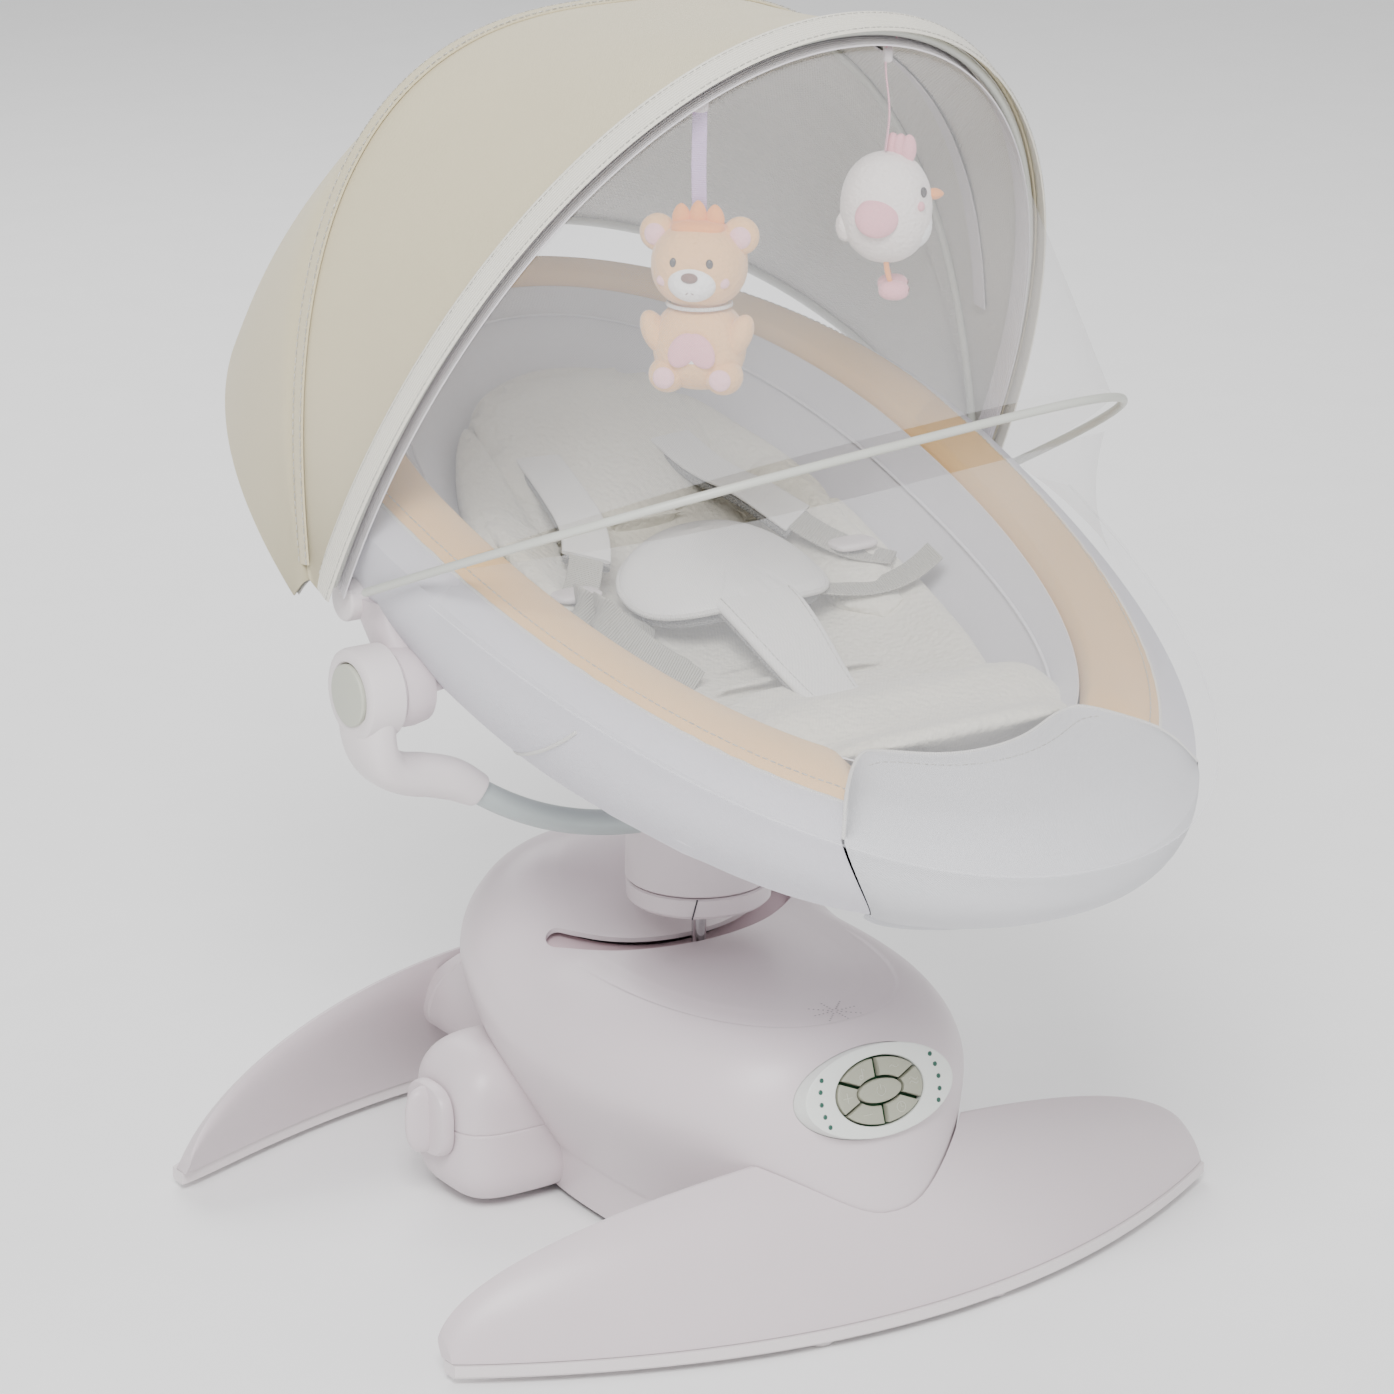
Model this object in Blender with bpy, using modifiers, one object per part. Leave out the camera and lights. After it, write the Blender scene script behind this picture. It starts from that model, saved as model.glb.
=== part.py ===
"""Electric baby swing: crescent-footed base, swinging head, reclining seat, canopy and insect net.

Metres, +Z up, the feet's front edge faces -Y.  Every place is written relative to the swing post, and
the whole model hangs from one empty, so the object's box is centred on the origin.
"""
import math

import bmesh
import bpy
from mathutils import Matrix, Vector

for leftover in list(bpy.data.objects):
    bpy.data.objects.remove(leftover)

# ---- driving dimensions (metres and degrees) -----------------------------------------------------
POST_Y = 0.0569           # swing post behind the middle of the object's box
GAP = 0.0004              # clearance kept between pieces that touch
SEAM = 0.0018             # open seam where a piece is fitted to a curved cover
SHELL = 0.0028            # wall of the moulded covers

# base housing: share of the local height, half width, reach to the front, reach to the rear
HOUSING_STATIONS = (
    (0.030, 0.062, 0.226, 0.150), (0.250, 0.086, 0.217, 0.158), (0.500, 0.113, 0.205, 0.165),
    (0.680, 0.127, 0.197, 0.168), (0.800, 0.124, 0.190, 0.166), (0.900, 0.112, 0.181, 0.155),
    (0.960, 0.098, 0.170, 0.142), (0.990, 0.084, 0.156, 0.127), (1.000, 0.068, 0.136, 0.108))
HOUSING_EXPONENT = 2.35
HOUSING_FRONT_TOP = 0.169  # height of the flat front deck
HOUSING_REAR_RISE = 0.038  # how far the rear of the deck stands above the front
HOUSING_RISE_END = 0.110   # distance behind the post where the rise is complete

# swing: the post runs in an arc slot round a bearing behind it, whose axis leans forward
SWING_RADIUS = 0.122
SWING_LEAN = 12.0
SWING_LIMIT = 30.0
POST_RADIUS = 0.0045
SLOT_CLEARANCE = 0.0035
SLOT_END_MARGIN = 12.0
HEAD_RADIUS = 0.0450
HEAD_BOTTOM = 0.195
HEAD_SPLIT = 0.209
HEAD_TOP = 0.288

# crescent legs: span, heights and how far the blade leans out from top to bottom
LEG_HALF_SPAN = 0.272
LEG_GROUND = 0.005
LEG_BASE_TOP = 0.013
LEG_THICK = 0.030
LEG_TIP_THICK = 0.010
FRONT_LEG = {"side": -1, "height": 0.098, "top": 0.190, "foot": 0.242,
             "tip_top": 0.150, "tip_foot": 0.160}
REAR_LEG = {"side": 1, "height": 0.116, "top": 0.205, "foot": 0.262,
            "tip_top": 0.166, "tip_foot": 0.184}
FOOT_RADIUS = 0.011
FOOT_X = 0.062
TIP_PAD_X = LEG_HALF_SPAN - 0.026
TIP_PAD_RADIUS = 0.0052
NECK_HALF = (0.084, 0.040)
NECK_HEIGHT = 0.084

# side pods with their locking knobs
POD_CENTRE_Y = 0.072
POD_HALF = 0.041
POD_OUTER_X = 0.146
POD_HEIGHT = 0.103
KNOB_HEIGHT = 0.058
KNOB_RADIUS = 0.023

# control panel on the leaning front wall
PANEL_Y = -0.1925
PANEL_Z = 0.133
PANEL_LEAN = 20.0
PANEL_HALF = (0.052, 0.027)
BUTTON_FIELD = (0.031, 0.0205)
CENTRE_BUTTON = (0.0155, 0.0075)
BUTTON_GAP = 0.0012
BUTTON_TRAVEL = 0.001

# yoke and recline brackets
RECLINE_Z = 0.366
RECLINE_Y = 0.0
YOKE_RADIUS = 0.0078
YOKE_HALF_SPAN = 0.176
YOKE_LOW = 0.2505
YOKE_RISE = 0.058
YOKE_CURVE = 2.6
BRACKET_INNER_X = 0.2155
BRACKET_OUTER_X = 0.240
BRACKET_HUB_RADIUS = 0.0275
RECLINE_BUTTON_RADIUS = 0.0185
RECLINE_BUTTON_TRAVEL = 0.0025
PIN_RADIUS = 0.006

# seat: the rim is an egg in a plane that rises to the head end
RIM_HALF_WIDTH = 0.217
RIM_CENTRE_Y = 0.040
RIM_FRONT = 0.430
RIM_REAR = 0.226
RIM_FRONT_EXPONENT = 2.15
RIM_REAR_EXPONENT = 1.85
RIM_HEIGHT = 0.452
RIM_SLOPE = 0.30
BUCKET_CENTRE_Y = 0.020
BUCKET_DEPTH = 0.138
BUCKET_EXPONENT = 2.30
BUCKET_NOSE_LIFT = 0.30   # share of the depth lost towards the foot end
BUCKET_NOSE_LENGTH = 0.40
OPENING_CENTRE_Y = 0.010
OPENING_HALF_WIDTH = RIM_HALF_WIDTH - 0.059
OPENING_FRONT = 0.312
OPENING_REAR = 0.222
TUB_DEPTH = 0.098
TUB_LOW_Y = -0.045
TUB_HALF_LENGTH = 0.290
FABRIC = 0.002
LINER_THICK = 0.022
FRAME_TUBE_RADIUS = 0.006
FRAME_INSET = 0.026

# canopy and net bows, all on one pivot line; angles are above the forward horizontal
PIVOT_Y = 0.042
PIVOT_Z = 0.409
BOW_RADIUS = 0.0026
NET_BOW = {"half": 0.2235, "reach": 0.300, "angle": 25.0, "exponent": 3.2, "droop": 0.014}
FRONT_BOW = {"half": 0.2295, "reach": 0.392, "angle": 60.7, "exponent": 2.05}
MID_BOW = {"half": 0.2355, "reach": 0.320, "angle": 98.0, "exponent": 2.7}
REAR_BOW = {"half": 0.2415, "reach": 0.286, "angle": 149.0, "exponent": 2.4}
CLOTH = 0.0012
CURTAIN_INSET = 2 * BOW_RADIUS
CURTAIN_GROW = 0.013
CURTAIN_SWEEP = 0.012

# toys that hang from the front bow
BEAR = {"x": -0.082, "strap": 0.072, "turn": -45.0, "colour": (0.88, 0.72, 0.55), "lobes": (
    ((0, 0, -0.0255), (0.0270, 0.0240, 0.0245)), ((0, 0, -0.0715), (0.0265, 0.0220, 0.0260)),
    ((-0.0270, 0, -0.0120), (0.0110, 0.0075, 0.0110)), ((0.0270, 0, -0.0120), (0.0110, 0.0075, 0.0110)),
    ((-0.0160, -0.0080, -0.0870), (0.0110, 0.0150, 0.0105)),
    ((0.0160, -0.0080, -0.0870), (0.0110, 0.0150, 0.0105)))}
CHICK = {"x": 0.038, "strap": 0.064, "turn": 57.0, "colour": (0.88, 0.70, 0.70), "lobes": (
    ((0, 0, -0.0320), (0.0220, 0.0265, 0.0330)), ((0, -0.0080, 0.0050), (0.0070, 0.0080, 0.0110)),
    ((-0.0065, -0.0021, -0.0780), (0.0071, 0.0075, 0.0175)),
    ((0.0105, -0.0023, -0.0770), (0.0072, 0.0076, 0.0175)))}


PARTS = bpy.data.collections.new("baby swing")
CUTTERS = bpy.data.collections.new("cutters")
for group in (PARTS, CUTTERS):
    bpy.context.scene.collection.children.link(group)


# ---- small helpers -------------------------------------------------------------------------------
def signed_power(value, power):
    """Value raised to a power with its sign kept."""
    return math.copysign(abs(value) ** power, value)


def blend(low, high, share):
    """Straight mix of two values."""
    return low + (high - low) * share


def smooth_step(share):
    """Ease from 0 to 1."""
    share = min(max(share, 0.0), 1.0)
    return share * share * (3.0 - 2.0 * share)


def material(name, colour, roughness=0.45, metallic=0.0):
    """One Principled material, made once for each name."""
    found = bpy.data.materials.get(name)
    if found:
        return found
    made = bpy.data.materials.new(name)
    made.use_nodes = True
    shader = made.node_tree.nodes["Principled BSDF"]
    shader.inputs["Base Color"].default_value = (*colour, 1.0)
    shader.inputs["Roughness"].default_value = roughness
    shader.inputs["Metallic"].default_value = metallic
    made.diffuse_color = (*colour, 1.0)
    return made


def shell_plastic():
    """Warm off-white moulded plastic of the base."""
    return material("base plastic", (0.70, 0.65, 0.66), 0.35)


def head_plastic():
    """Whiter plastic of the brackets and bezels."""
    return material("white plastic", (0.80, 0.78, 0.78), 0.35)


def grey_tube():
    """Painted grey tube of the yoke and the bows."""
    return material("grey tube", (0.42, 0.48, 0.48), 0.4, 0.2)


def steel():
    """Bright steel of pins, axles and the post."""
    return material("steel", (0.75, 0.75, 0.76), 0.2, 1.0)


def dark_part():
    """Dark internal parts."""
    return material("dark part", (0.05, 0.05, 0.06), 0.5)


def anchor(name, place, parent=None):
    """An empty that carries the pieces of one moving body; its place is relative to the post."""
    empty = bpy.data.objects.new(name, None)
    empty.empty_display_size = 0.03
    bpy.context.scene.collection.objects.link(empty)
    empty["place"] = place
    if parent:
        empty.parent = parent
        empty.location = Vector(place) - Vector(parent["place"])
    else:
        empty.location = (place[0], place[1] + POST_Y, place[2])
    return empty


def finish(piece, owner, paint, cutter=False):
    """Colour a piece, shade it and hang it on its empty without moving it."""
    piece.data.materials.append(paint)
    for face in piece.data.polygons:
        face.use_smooth = True
    piece.data.set_sharp_from_angle(angle=math.radians(35))
    home = CUTTERS if cutter else PARTS
    for collection in list(piece.users_collection):
        collection.objects.unlink(piece)
    home.objects.link(piece)
    piece.data.transform(Matrix.Translation(-Vector(owner["place"])))
    piece.parent = owner
    if cutter:
        piece.hide_render = True
        piece.display_type = "WIRE"
    return piece


def new_object(name, mesh):
    """Object for a mesh, linked so that it evaluates."""
    piece = bpy.data.objects.new(name, mesh)
    bpy.context.scene.collection.objects.link(piece)
    return piece


def loft(name, rings, closed=True, cap_start=True, cap_end=True):
    """Surface through rings of points; closed says whether each ring joins its own end."""
    work = bmesh.new()
    rows = [[work.verts.new(point) for point in ring] for ring in rings]
    count = len(rows[0])
    for row, following in zip(rows, rows[1:]):
        for index in range(count if closed else count - 1):
            after = (index + 1) % count
            work.faces.new((row[index], row[after], following[after], following[index]))
    if cap_start:
        work.faces.new(rows[0][::-1])
    if cap_end:
        work.faces.new(rows[-1])
    bmesh.ops.remove_doubles(work, verts=work.verts, dist=0.00002)
    bmesh.ops.recalc_face_normals(work, faces=work.faces)
    mesh = bpy.data.meshes.new(name)
    work.to_mesh(mesh)
    work.free()
    return new_object(name, mesh)


def solidify(piece, wall, offset=-1.0):
    """Give an open surface its wall."""
    shell = piece.modifiers.new("wall", "SOLIDIFY")
    shell.thickness = wall
    shell.offset = offset
    shell.use_even_offset = False
    shell.use_rim = True
    return piece


def cut(piece, cutter, operation="DIFFERENCE"):
    """Live Boolean with the exact solver."""
    change = piece.modifiers.new(operation.lower(), "BOOLEAN")
    change.object = cutter
    change.operation = operation
    change.solver = "EXACT"
    return piece


def rounded_box(name, low, high, radius, segments=2):
    """Box between two corners with rounded edges."""
    work = bmesh.new()
    size = Vector(high) - Vector(low)
    middle = (Vector(high) + Vector(low)) / 2
    bmesh.ops.create_cube(work, size=1.0, matrix=Matrix.Translation(middle) @ Matrix.Diagonal((*size, 1.0)))
    mesh = bpy.data.meshes.new(name)
    work.to_mesh(mesh)
    work.free()
    piece = new_object(name, mesh)
    if radius > 0:
        bevel = piece.modifiers.new("round", "BEVEL")
        bevel.width = radius
        bevel.segments = segments
    return piece


def cylinder(name, radius, start, end, sides=32, radius_end=None, bevel=0.0):
    """Cylinder or cone from one point to another, with a rounded rim if asked."""
    start, end = Vector(start), Vector(end)
    along = end - start
    turn = along.to_track_quat("Z", "Y").to_matrix().to_4x4()
    work = bmesh.new()
    bmesh.ops.create_cone(work, cap_ends=True, segments=sides, radius1=radius,
                          radius2=radius if radius_end is None else radius_end, depth=along.length,
                          matrix=Matrix.Translation((start + end) / 2) @ turn)
    mesh = bpy.data.meshes.new(name)
    work.to_mesh(mesh)
    work.free()
    piece = new_object(name, mesh)
    if bevel:
        edge = piece.modifiers.new("round", "BEVEL")
        edge.width = bevel
        edge.segments = 2
        edge.limit_method = "ANGLE"
        edge.angle_limit = math.radians(60)
    return piece


def tube(name, points, radius, cyclic=False, resolution=2):
    """Round tube along points, as a welded mesh."""
    curve = bpy.data.curves.new(name, "CURVE")
    curve.dimensions = "3D"
    curve.bevel_depth = radius
    curve.bevel_resolution = resolution
    curve.use_fill_caps = not cyclic
    line = curve.splines.new("POLY")
    line.points.add(len(points) - 1)
    for knot, point in zip(line.points, points):
        knot.co = (*point, 1.0)
    line.use_cyclic_u = cyclic
    drawn = bpy.data.objects.new(name + " curve", curve)
    bpy.context.scene.collection.objects.link(drawn)
    bpy.context.view_layer.update()
    mesh = bpy.data.meshes.new_from_object(drawn.evaluated_get(bpy.context.evaluated_depsgraph_get()))
    work = bmesh.new()
    work.from_mesh(mesh)
    bmesh.ops.remove_doubles(work, verts=work.verts, dist=0.00002)
    bmesh.ops.recalc_face_normals(work, faces=work.faces)
    work.to_mesh(mesh)
    work.free()
    bpy.data.objects.remove(drawn)
    bpy.data.curves.remove(curve)
    mesh.name = name
    return new_object(name, mesh)


# ---- base housing --------------------------------------------------------------------------------
def deck_height(y):
    """Height of the housing's top at a distance behind the post."""
    return HOUSING_FRONT_TOP + HOUSING_REAR_RISE * smooth_step(y / HOUSING_RISE_END)


def housing_ring(station, swell=0.0, count=32, lift=0.0):
    """One outline of the housing at a station, grown by a clearance."""
    share, half, front, rear = station
    ring = []
    power = 2.0 / HOUSING_EXPONENT
    for index in range(count):
        angle = 2 * math.pi * index / count
        reach = (rear if math.sin(angle) > 0 else front) + swell
        x = (half + swell) * signed_power(math.cos(angle), power)
        y = reach * signed_power(math.sin(angle), power)
        ring.append((x, y, deck_height(y) * share + lift))
    return ring


def housing_rings(swell=0.0, count=32):
    """All outlines of the housing from the floor to its deck."""
    rings = [housing_ring(station, swell, count, swell if station[0] > 0.9 else 0.0)
             for station in HOUSING_STATIONS]
    top = HOUSING_STATIONS[-1]
    for share in (0.6, 0.2):
        rings.append(housing_ring((1.0, top[1] * share, top[2] * share, top[3] * share), 0, count, swell))
    return rings


def housing_envelope(owner, name, swell):
    """Closed solid of the housing with a clearance, which cuts what stands against it."""
    rings = housing_rings(swell)
    floor = [(x, y, -0.01) for x, y, _ in rings[0]]
    return finish(loft(name, [floor] + rings), owner, shell_plastic(), cutter=True)


def panel_frame():
    """Middle and directions (across, up the wall, outwards) of the control panel."""
    lean = math.radians(PANEL_LEAN)
    return (Vector((0, PANEL_Y, PANEL_Z)), Vector((1, 0, 0)),
            Vector((0, math.sin(lean), math.cos(lean))), Vector((0, -math.cos(lean), math.sin(lean))))


def panel_prism(name, outline, low, high):
    """Prism standing on the panel's plane from one depth to another."""
    middle, across, up, out = panel_frame()
    rings = [[middle + across * x + up * y + out * depth for x, y in outline] for depth in (low, high)]
    return loft(name, rings)


def oval(half, count=40):
    """Points of an ellipse."""
    return [(half[0] * math.cos(2 * math.pi * i / count), half[1] * math.sin(2 * math.pi * i / count))
            for i in range(count)]


def ring_sector(index, count=6):
    """Outline of one of the buttons that stand round the middle one."""
    step = 2 * math.pi / count
    start = step * index + math.pi / 2
    inner = [value + BUTTON_GAP for value in CENTRE_BUTTON]
    outer = [value - BUTTON_GAP for value in BUTTON_FIELD]
    steps = 6
    points = []
    for half, order in ((outer, range(steps + 1)), (inner, range(steps, -1, -1))):
        trim = BUTTON_GAP / math.hypot(half[0] * math.cos(start), half[1] * math.sin(start))
        for i in order:
            angle = blend(start + trim, start + step - trim, i / steps)
            points.append((half[0] * math.cos(angle), half[1] * math.sin(angle)))
    return points


def swing_axis():
    """A point on the swing axis and the axis direction."""
    lean = math.radians(SWING_LEAN)
    point = Vector((0, SWING_RADIUS * math.cos(lean), HOUSING_FRONT_TOP + SWING_RADIUS * math.sin(lean)))
    return point, Vector((0, -math.sin(lean), math.cos(lean)))


def axis_point(height):
    """The point of the swing axis at a height."""
    point, direction = swing_axis()
    return point + direction * ((height - point.z) / direction.z)


def slot_cutter(owner):
    """Arc slot in the deck for the post."""
    centre, _ = swing_axis()
    end = math.radians(SWING_LIMIT + SLOT_END_MARGIN)
    half = POST_RADIUS + SLOT_CLEARANCE
    steps = 20
    outline = []
    flatten = centre.y / SWING_RADIUS
    for radius, order in ((SWING_RADIUS + half, range(steps + 1)),
                          (SWING_RADIUS - half, range(steps, -1, -1))):
        for i in order:
            angle = blend(-end, end, i / steps)
            outline.append((radius * math.sin(angle), centre.y - radius * math.cos(angle) * flatten))
    rings = [[(x, y, z) for x, y in outline] for z in (0.150, 0.230)]
    return finish(loft("slot cutter", rings), owner, dark_part(), cutter=True)


def build_housing(root):
    """Upper and lower covers of the base."""
    upper = loft("base_upper_cover", housing_rings(), cap_start=False, cap_end=True)
    solidify(upper, SHELL)
    finish(upper, root, shell_plastic())
    cut(upper, slot_cutter(root))
    hole = panel_prism("panel hole", oval([value + GAP for value in PANEL_HALF]), -0.020, 0.010)
    cut(upper, finish(hole, root, dark_part(), cutter=True))
    inset = -(SHELL + GAP + 0.0012)
    outline = housing_ring(HOUSING_STATIONS[0], inset)
    levels = (0.0075, 0.0115)
    lower = loft("base_lower_cover", [[(x, y, z) for x, y, _ in outline] for z in levels])
    finish(lower, root, shell_plastic())


# ---- legs ----------------------------------------------------------------------------------------
def leg_point(leg, x, share, inner, low, swell=0.0):
    """Point of a leg's face: share runs from a low edge to the crest, inner is the face to the housing."""
    along = x / LEG_HALF_SPAN
    taper = math.sqrt(max(1.0 - along * along, 0.0))
    crest = LEG_BASE_TOP + 0.006 + (leg["height"] - LEG_BASE_TOP - 0.006) * taper ** 1.05
    z = blend(low, crest, share)
    rise = max((z - LEG_GROUND) / (crest - LEG_GROUND), 0.0)
    outer_top = blend(leg["top"], leg["tip_top"], along * along)
    outer_foot = blend(leg["foot"], leg["tip_foot"], along * along)
    outer = blend(outer_foot, outer_top, rise ** 1.25)
    thick = blend(LEG_TIP_THICK, LEG_THICK, taper)
    narrow = thick * (1.0 - 0.92 * rise ** 7)
    middle = outer - thick / 2
    reach = middle - narrow / 2 - swell if inner else middle + narrow / 2 + swell
    return (x, leg["side"] * reach, z + swell * rise)


def leg_inner_face(leg, x, z):
    """Distance from the post of a leg's inner face at a height."""
    low, high = 0.0, 1.0
    for _ in range(24):
        share = (low + high) / 2
        if leg_point(leg, x, share, True, LEG_GROUND)[2] < z:
            low = share
        else:
            high = share
    return abs(leg_point(leg, x, low, True, LEG_GROUND)[1])


def leg_stations(count=18):
    """Stations along the span, closer together near the tips."""
    return [LEG_HALF_SPAN * 0.994 * math.sin(math.pi / 2 * (2 * i / count - 1)) for i in range(count + 1)]


def leg_loft(name, leg, low, swell=0.0):
    """Blade of a leg from a low edge to its crest."""
    shares = (0.0, 0.3, 0.6, 0.8, 0.93, 1.0)
    rings = []
    for x in leg_stations():
        outer = [leg_point(leg, x, share, False, low, swell) for share in shares]
        inner = [leg_point(leg, x, share, True, low, swell) for share in reversed(shares)]
        rings.append(outer + inner)
    return loft(name, rings)


def leg_plate(name, leg):
    """Flat bottom plate of a leg."""
    rings = []
    for x in leg_stations():
        outer = leg_point(leg, x, 0.0, False, LEG_GROUND)
        inner = leg_point(leg, x, 0.0, True, LEG_GROUND)
        rings.append([(px, py, z) for (px, py), z in (
            (outer[:2], LEG_GROUND), (outer[:2], LEG_BASE_TOP),
            (inner[:2], LEG_BASE_TOP), (inner[:2], LEG_GROUND))])
    return loft(name, rings)


def build_leg(root, label, leg, envelope):
    """Moulded blade, bottom plate and rubber feet of one leg."""
    cover = leg_loft(label + "_leg_cover", leg, LEG_BASE_TOP + GAP)
    finish(cover, root, shell_plastic())
    cut(cover, envelope)
    plate = leg_plate(label + "_leg_base", leg)
    finish(plate, root, head_plastic())
    cut(plate, envelope)
    foot_edge = blend(leg["foot"], leg["tip_foot"], (FOOT_X / LEG_HALF_SPAN) ** 2)
    tip_edge = blend(leg["foot"], leg["tip_foot"], (TIP_PAD_X / LEG_HALF_SPAN) ** 2)
    foot_y = leg["side"] * (foot_edge - LEG_THICK / 2)
    tip_y = leg["side"] * (tip_edge - 0.009)
    for side, word in ((-1, "left"), (1, "right")):
        foot = cylinder(f"{label}_{word}_foot", FOOT_RADIUS * 0.8, (side * FOOT_X, foot_y, 0),
                        (side * FOOT_X, foot_y, LEG_GROUND - GAP), 20, FOOT_RADIUS)
        finish(foot, root, material("rubber", (0.75, 0.74, 0.73), 0.8))
        pad = cylinder(f"{label} {word} tip pad", TIP_PAD_RADIUS, (side * TIP_PAD_X, tip_y, 0),
                       (side * TIP_PAD_X, tip_y, LEG_GROUND + 0.003), 16)
        cut(plate, finish(pad, root, head_plastic(), cutter=True), "UNION")


def build_rear_neck(root, envelope):
    """Broad tube that carries the rear leg."""
    start = HOUSING_STATIONS[3][3] * 0.68
    rings = []
    for share, size in ((0.0, 1.0), (0.5, 1.0), (1.0, 1.0), (1.0, 0.66), (1.0, 0.33)):
        ring = []
        for index in range(28):
            angle = 2 * math.pi * index / 28
            x = size * NECK_HALF[0] * signed_power(math.cos(angle), 0.8)
            z = NECK_HEIGHT + size * NECK_HALF[1] * signed_power(math.sin(angle), 0.8)
            ring.append((x, blend(start, leg_inner_face(REAR_LEG, x, z) - SEAM, share), z))
        rings.append(ring)
    neck = loft("rear_neck", rings)
    finish(neck, root, shell_plastic())
    cut(neck, envelope)


def build_pods(root, envelope):
    """Side pods with a winged locking knob on each."""
    for side, word in ((-1, "left"), (1, "right")):
        xs = sorted((side * 0.050, side * POD_OUTER_X))
        pod = rounded_box(f"{word}_pod", (xs[0], POD_CENTRE_Y - POD_HALF, LEG_GROUND),
                          (xs[1], POD_CENTRE_Y + POD_HALF, POD_HEIGHT), 0.020, 4)
        finish(pod, root, shell_plastic())
        cut(pod, envelope)
        pivot = (side * POD_OUTER_X, POD_CENTRE_Y, KNOB_HEIGHT)
        owner = anchor(f"{word} knob axis", pivot, root)
        stem_end = side * (POD_OUTER_X + GAP)
        knob = cylinder(f"{word}_lock_knob", KNOB_RADIUS, (stem_end, POD_CENTRE_Y, KNOB_HEIGHT),
                        (stem_end + side * 0.008, POD_CENTRE_Y, KNOB_HEIGHT), 32, bevel=0.002)
        wing = rounded_box(f"{word} knob wing", (min(stem_end + side * 0.004, stem_end + side * 0.022),
                                                 POD_CENTRE_Y - 0.007, KNOB_HEIGHT - 0.019),
                           (max(stem_end + side * 0.004, stem_end + side * 0.022),
                            POD_CENTRE_Y + 0.007, KNOB_HEIGHT + 0.019), 0.004)
        finish(wing, owner, head_plastic(), cutter=True)
        finish(knob, owner, head_plastic())
        cut(knob, wing, "UNION")


# ---- control panel and electrics -----------------------------------------------------------------
def build_panel(root):
    """Bezel, seven buttons, board and speaker."""
    bezel = panel_prism("control_panel", oval(PANEL_HALF), -0.003, 0.0022)
    finish(bezel, root, head_plastic())
    field = panel_prism("button field", oval(BUTTON_FIELD), -0.010, 0.010)
    cut(bezel, finish(field, root, dark_part(), cutter=True))
    middle = panel_frame()[0]
    names = ("power", "melody", "volume_up", "volume_down", "timer", "swing_up", "swing_down")
    outlines = [oval([value - BUTTON_GAP / 2 for value in CENTRE_BUTTON], 28)]
    outlines += [ring_sector(index) for index in range(6)]
    for name, outline in zip(names, outlines):
        owner = anchor(name + " button axis", tuple(middle), root)
        button = panel_prism(name + "_button", outline, -0.0015, 0.0030)
        finish(button, owner, material("button grey", (0.30, 0.31, 0.25), 0.5))
    outline = [(x * 1.05, y * 1.05) for x, y in oval(BUTTON_FIELD, 24)]
    board = panel_prism("button_board", outline, -0.0070, -0.0054)
    finish(board, root, material("circuit board", (0.05, 0.22, 0.10), 0.5))
    deck = HOUSING_FRONT_TOP - SHELL
    speaker = cylinder("speaker", 0.020, (0, -0.100, deck - 0.020), (0, -0.100, deck - 0.004), 28, 0.026)
    finish(speaker, root, dark_part())


def build_drive(root, carrier):
    """Bearing, arm, magnet and coil under the deck."""
    low, high = axis_point(0.097), axis_point(0.145)
    step = swing_axis()[1]
    block = cylinder("swing_bearing", 0.011, low - step * 0.020, low, 28)
    finish(block, root, dark_part())
    axle = cylinder("swing axle", 0.0055, low - step * 0.004, high + step * 0.006, 20)
    cut(block, finish(axle, root, steel(), cutter=True), "UNION")
    hub_low, hub_high = low + step * 0.0010, low + step * 0.022
    arm = cylinder("swing_arm", 0.011, hub_low, hub_high, 24)
    beam_z = low.z + 0.012
    beam = rounded_box("arm beam", (-0.008, -0.010, beam_z - 0.006),
                       (0.008, low.y - 0.004, beam_z + 0.006), 0.0)
    finish(beam, carrier, dark_part(), cutter=True)
    finish(arm, carrier, material("arm metal", (0.45, 0.46, 0.48), 0.4, 0.8))
    cut(arm, beam, "UNION")
    bore = cylinder("axle bore", 0.0055 + GAP, low - step * 0.03, high + step * 0.05, 20)
    cut(arm, finish(bore, carrier, dark_part(), cutter=True))
    foot = beam_z + 0.006 + GAP
    post = cylinder("swing_post", POST_RADIUS, (0, 0, foot), (0, 0, HEAD_SPLIT + 0.020), 20)
    finish(post, carrier, steel())
    magnet = rounded_box("drive magnet", (-0.012, -0.009, beam_z - 0.018),
                         (0.012, 0.012, beam_z - 0.004), 0.0)
    cut(arm, finish(magnet, carrier, steel(), cutter=True), "UNION")
    coil = cylinder("drive_coil", 0.020, (0, 0.002, 0.045), (0, 0.002, beam_z - 0.022), 24)
    finish(coil, root, material("copper", (0.55, 0.25, 0.12), 0.35, 0.9))
    inlet_y = 0.060
    inlet = cylinder("power_inlet", 0.006, (0.070, inlet_y, 0.030), (0.045, inlet_y, 0.030), 20)
    finish(inlet, root, dark_part())
    return inlet


# ---- head, yoke and recline brackets -------------------------------------------------------------
def yoke_line(count=21):
    """Centre line of the yoke: a shallow U between the brackets, through the head."""
    points = []
    for index in range(count):
        share = 2 * index / (count - 1) - 1
        x = YOKE_HALF_SPAN * share
        points.append((x, RECLINE_Y, YOKE_LOW + YOKE_RISE * abs(share) ** YOKE_CURVE))
    return points


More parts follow.
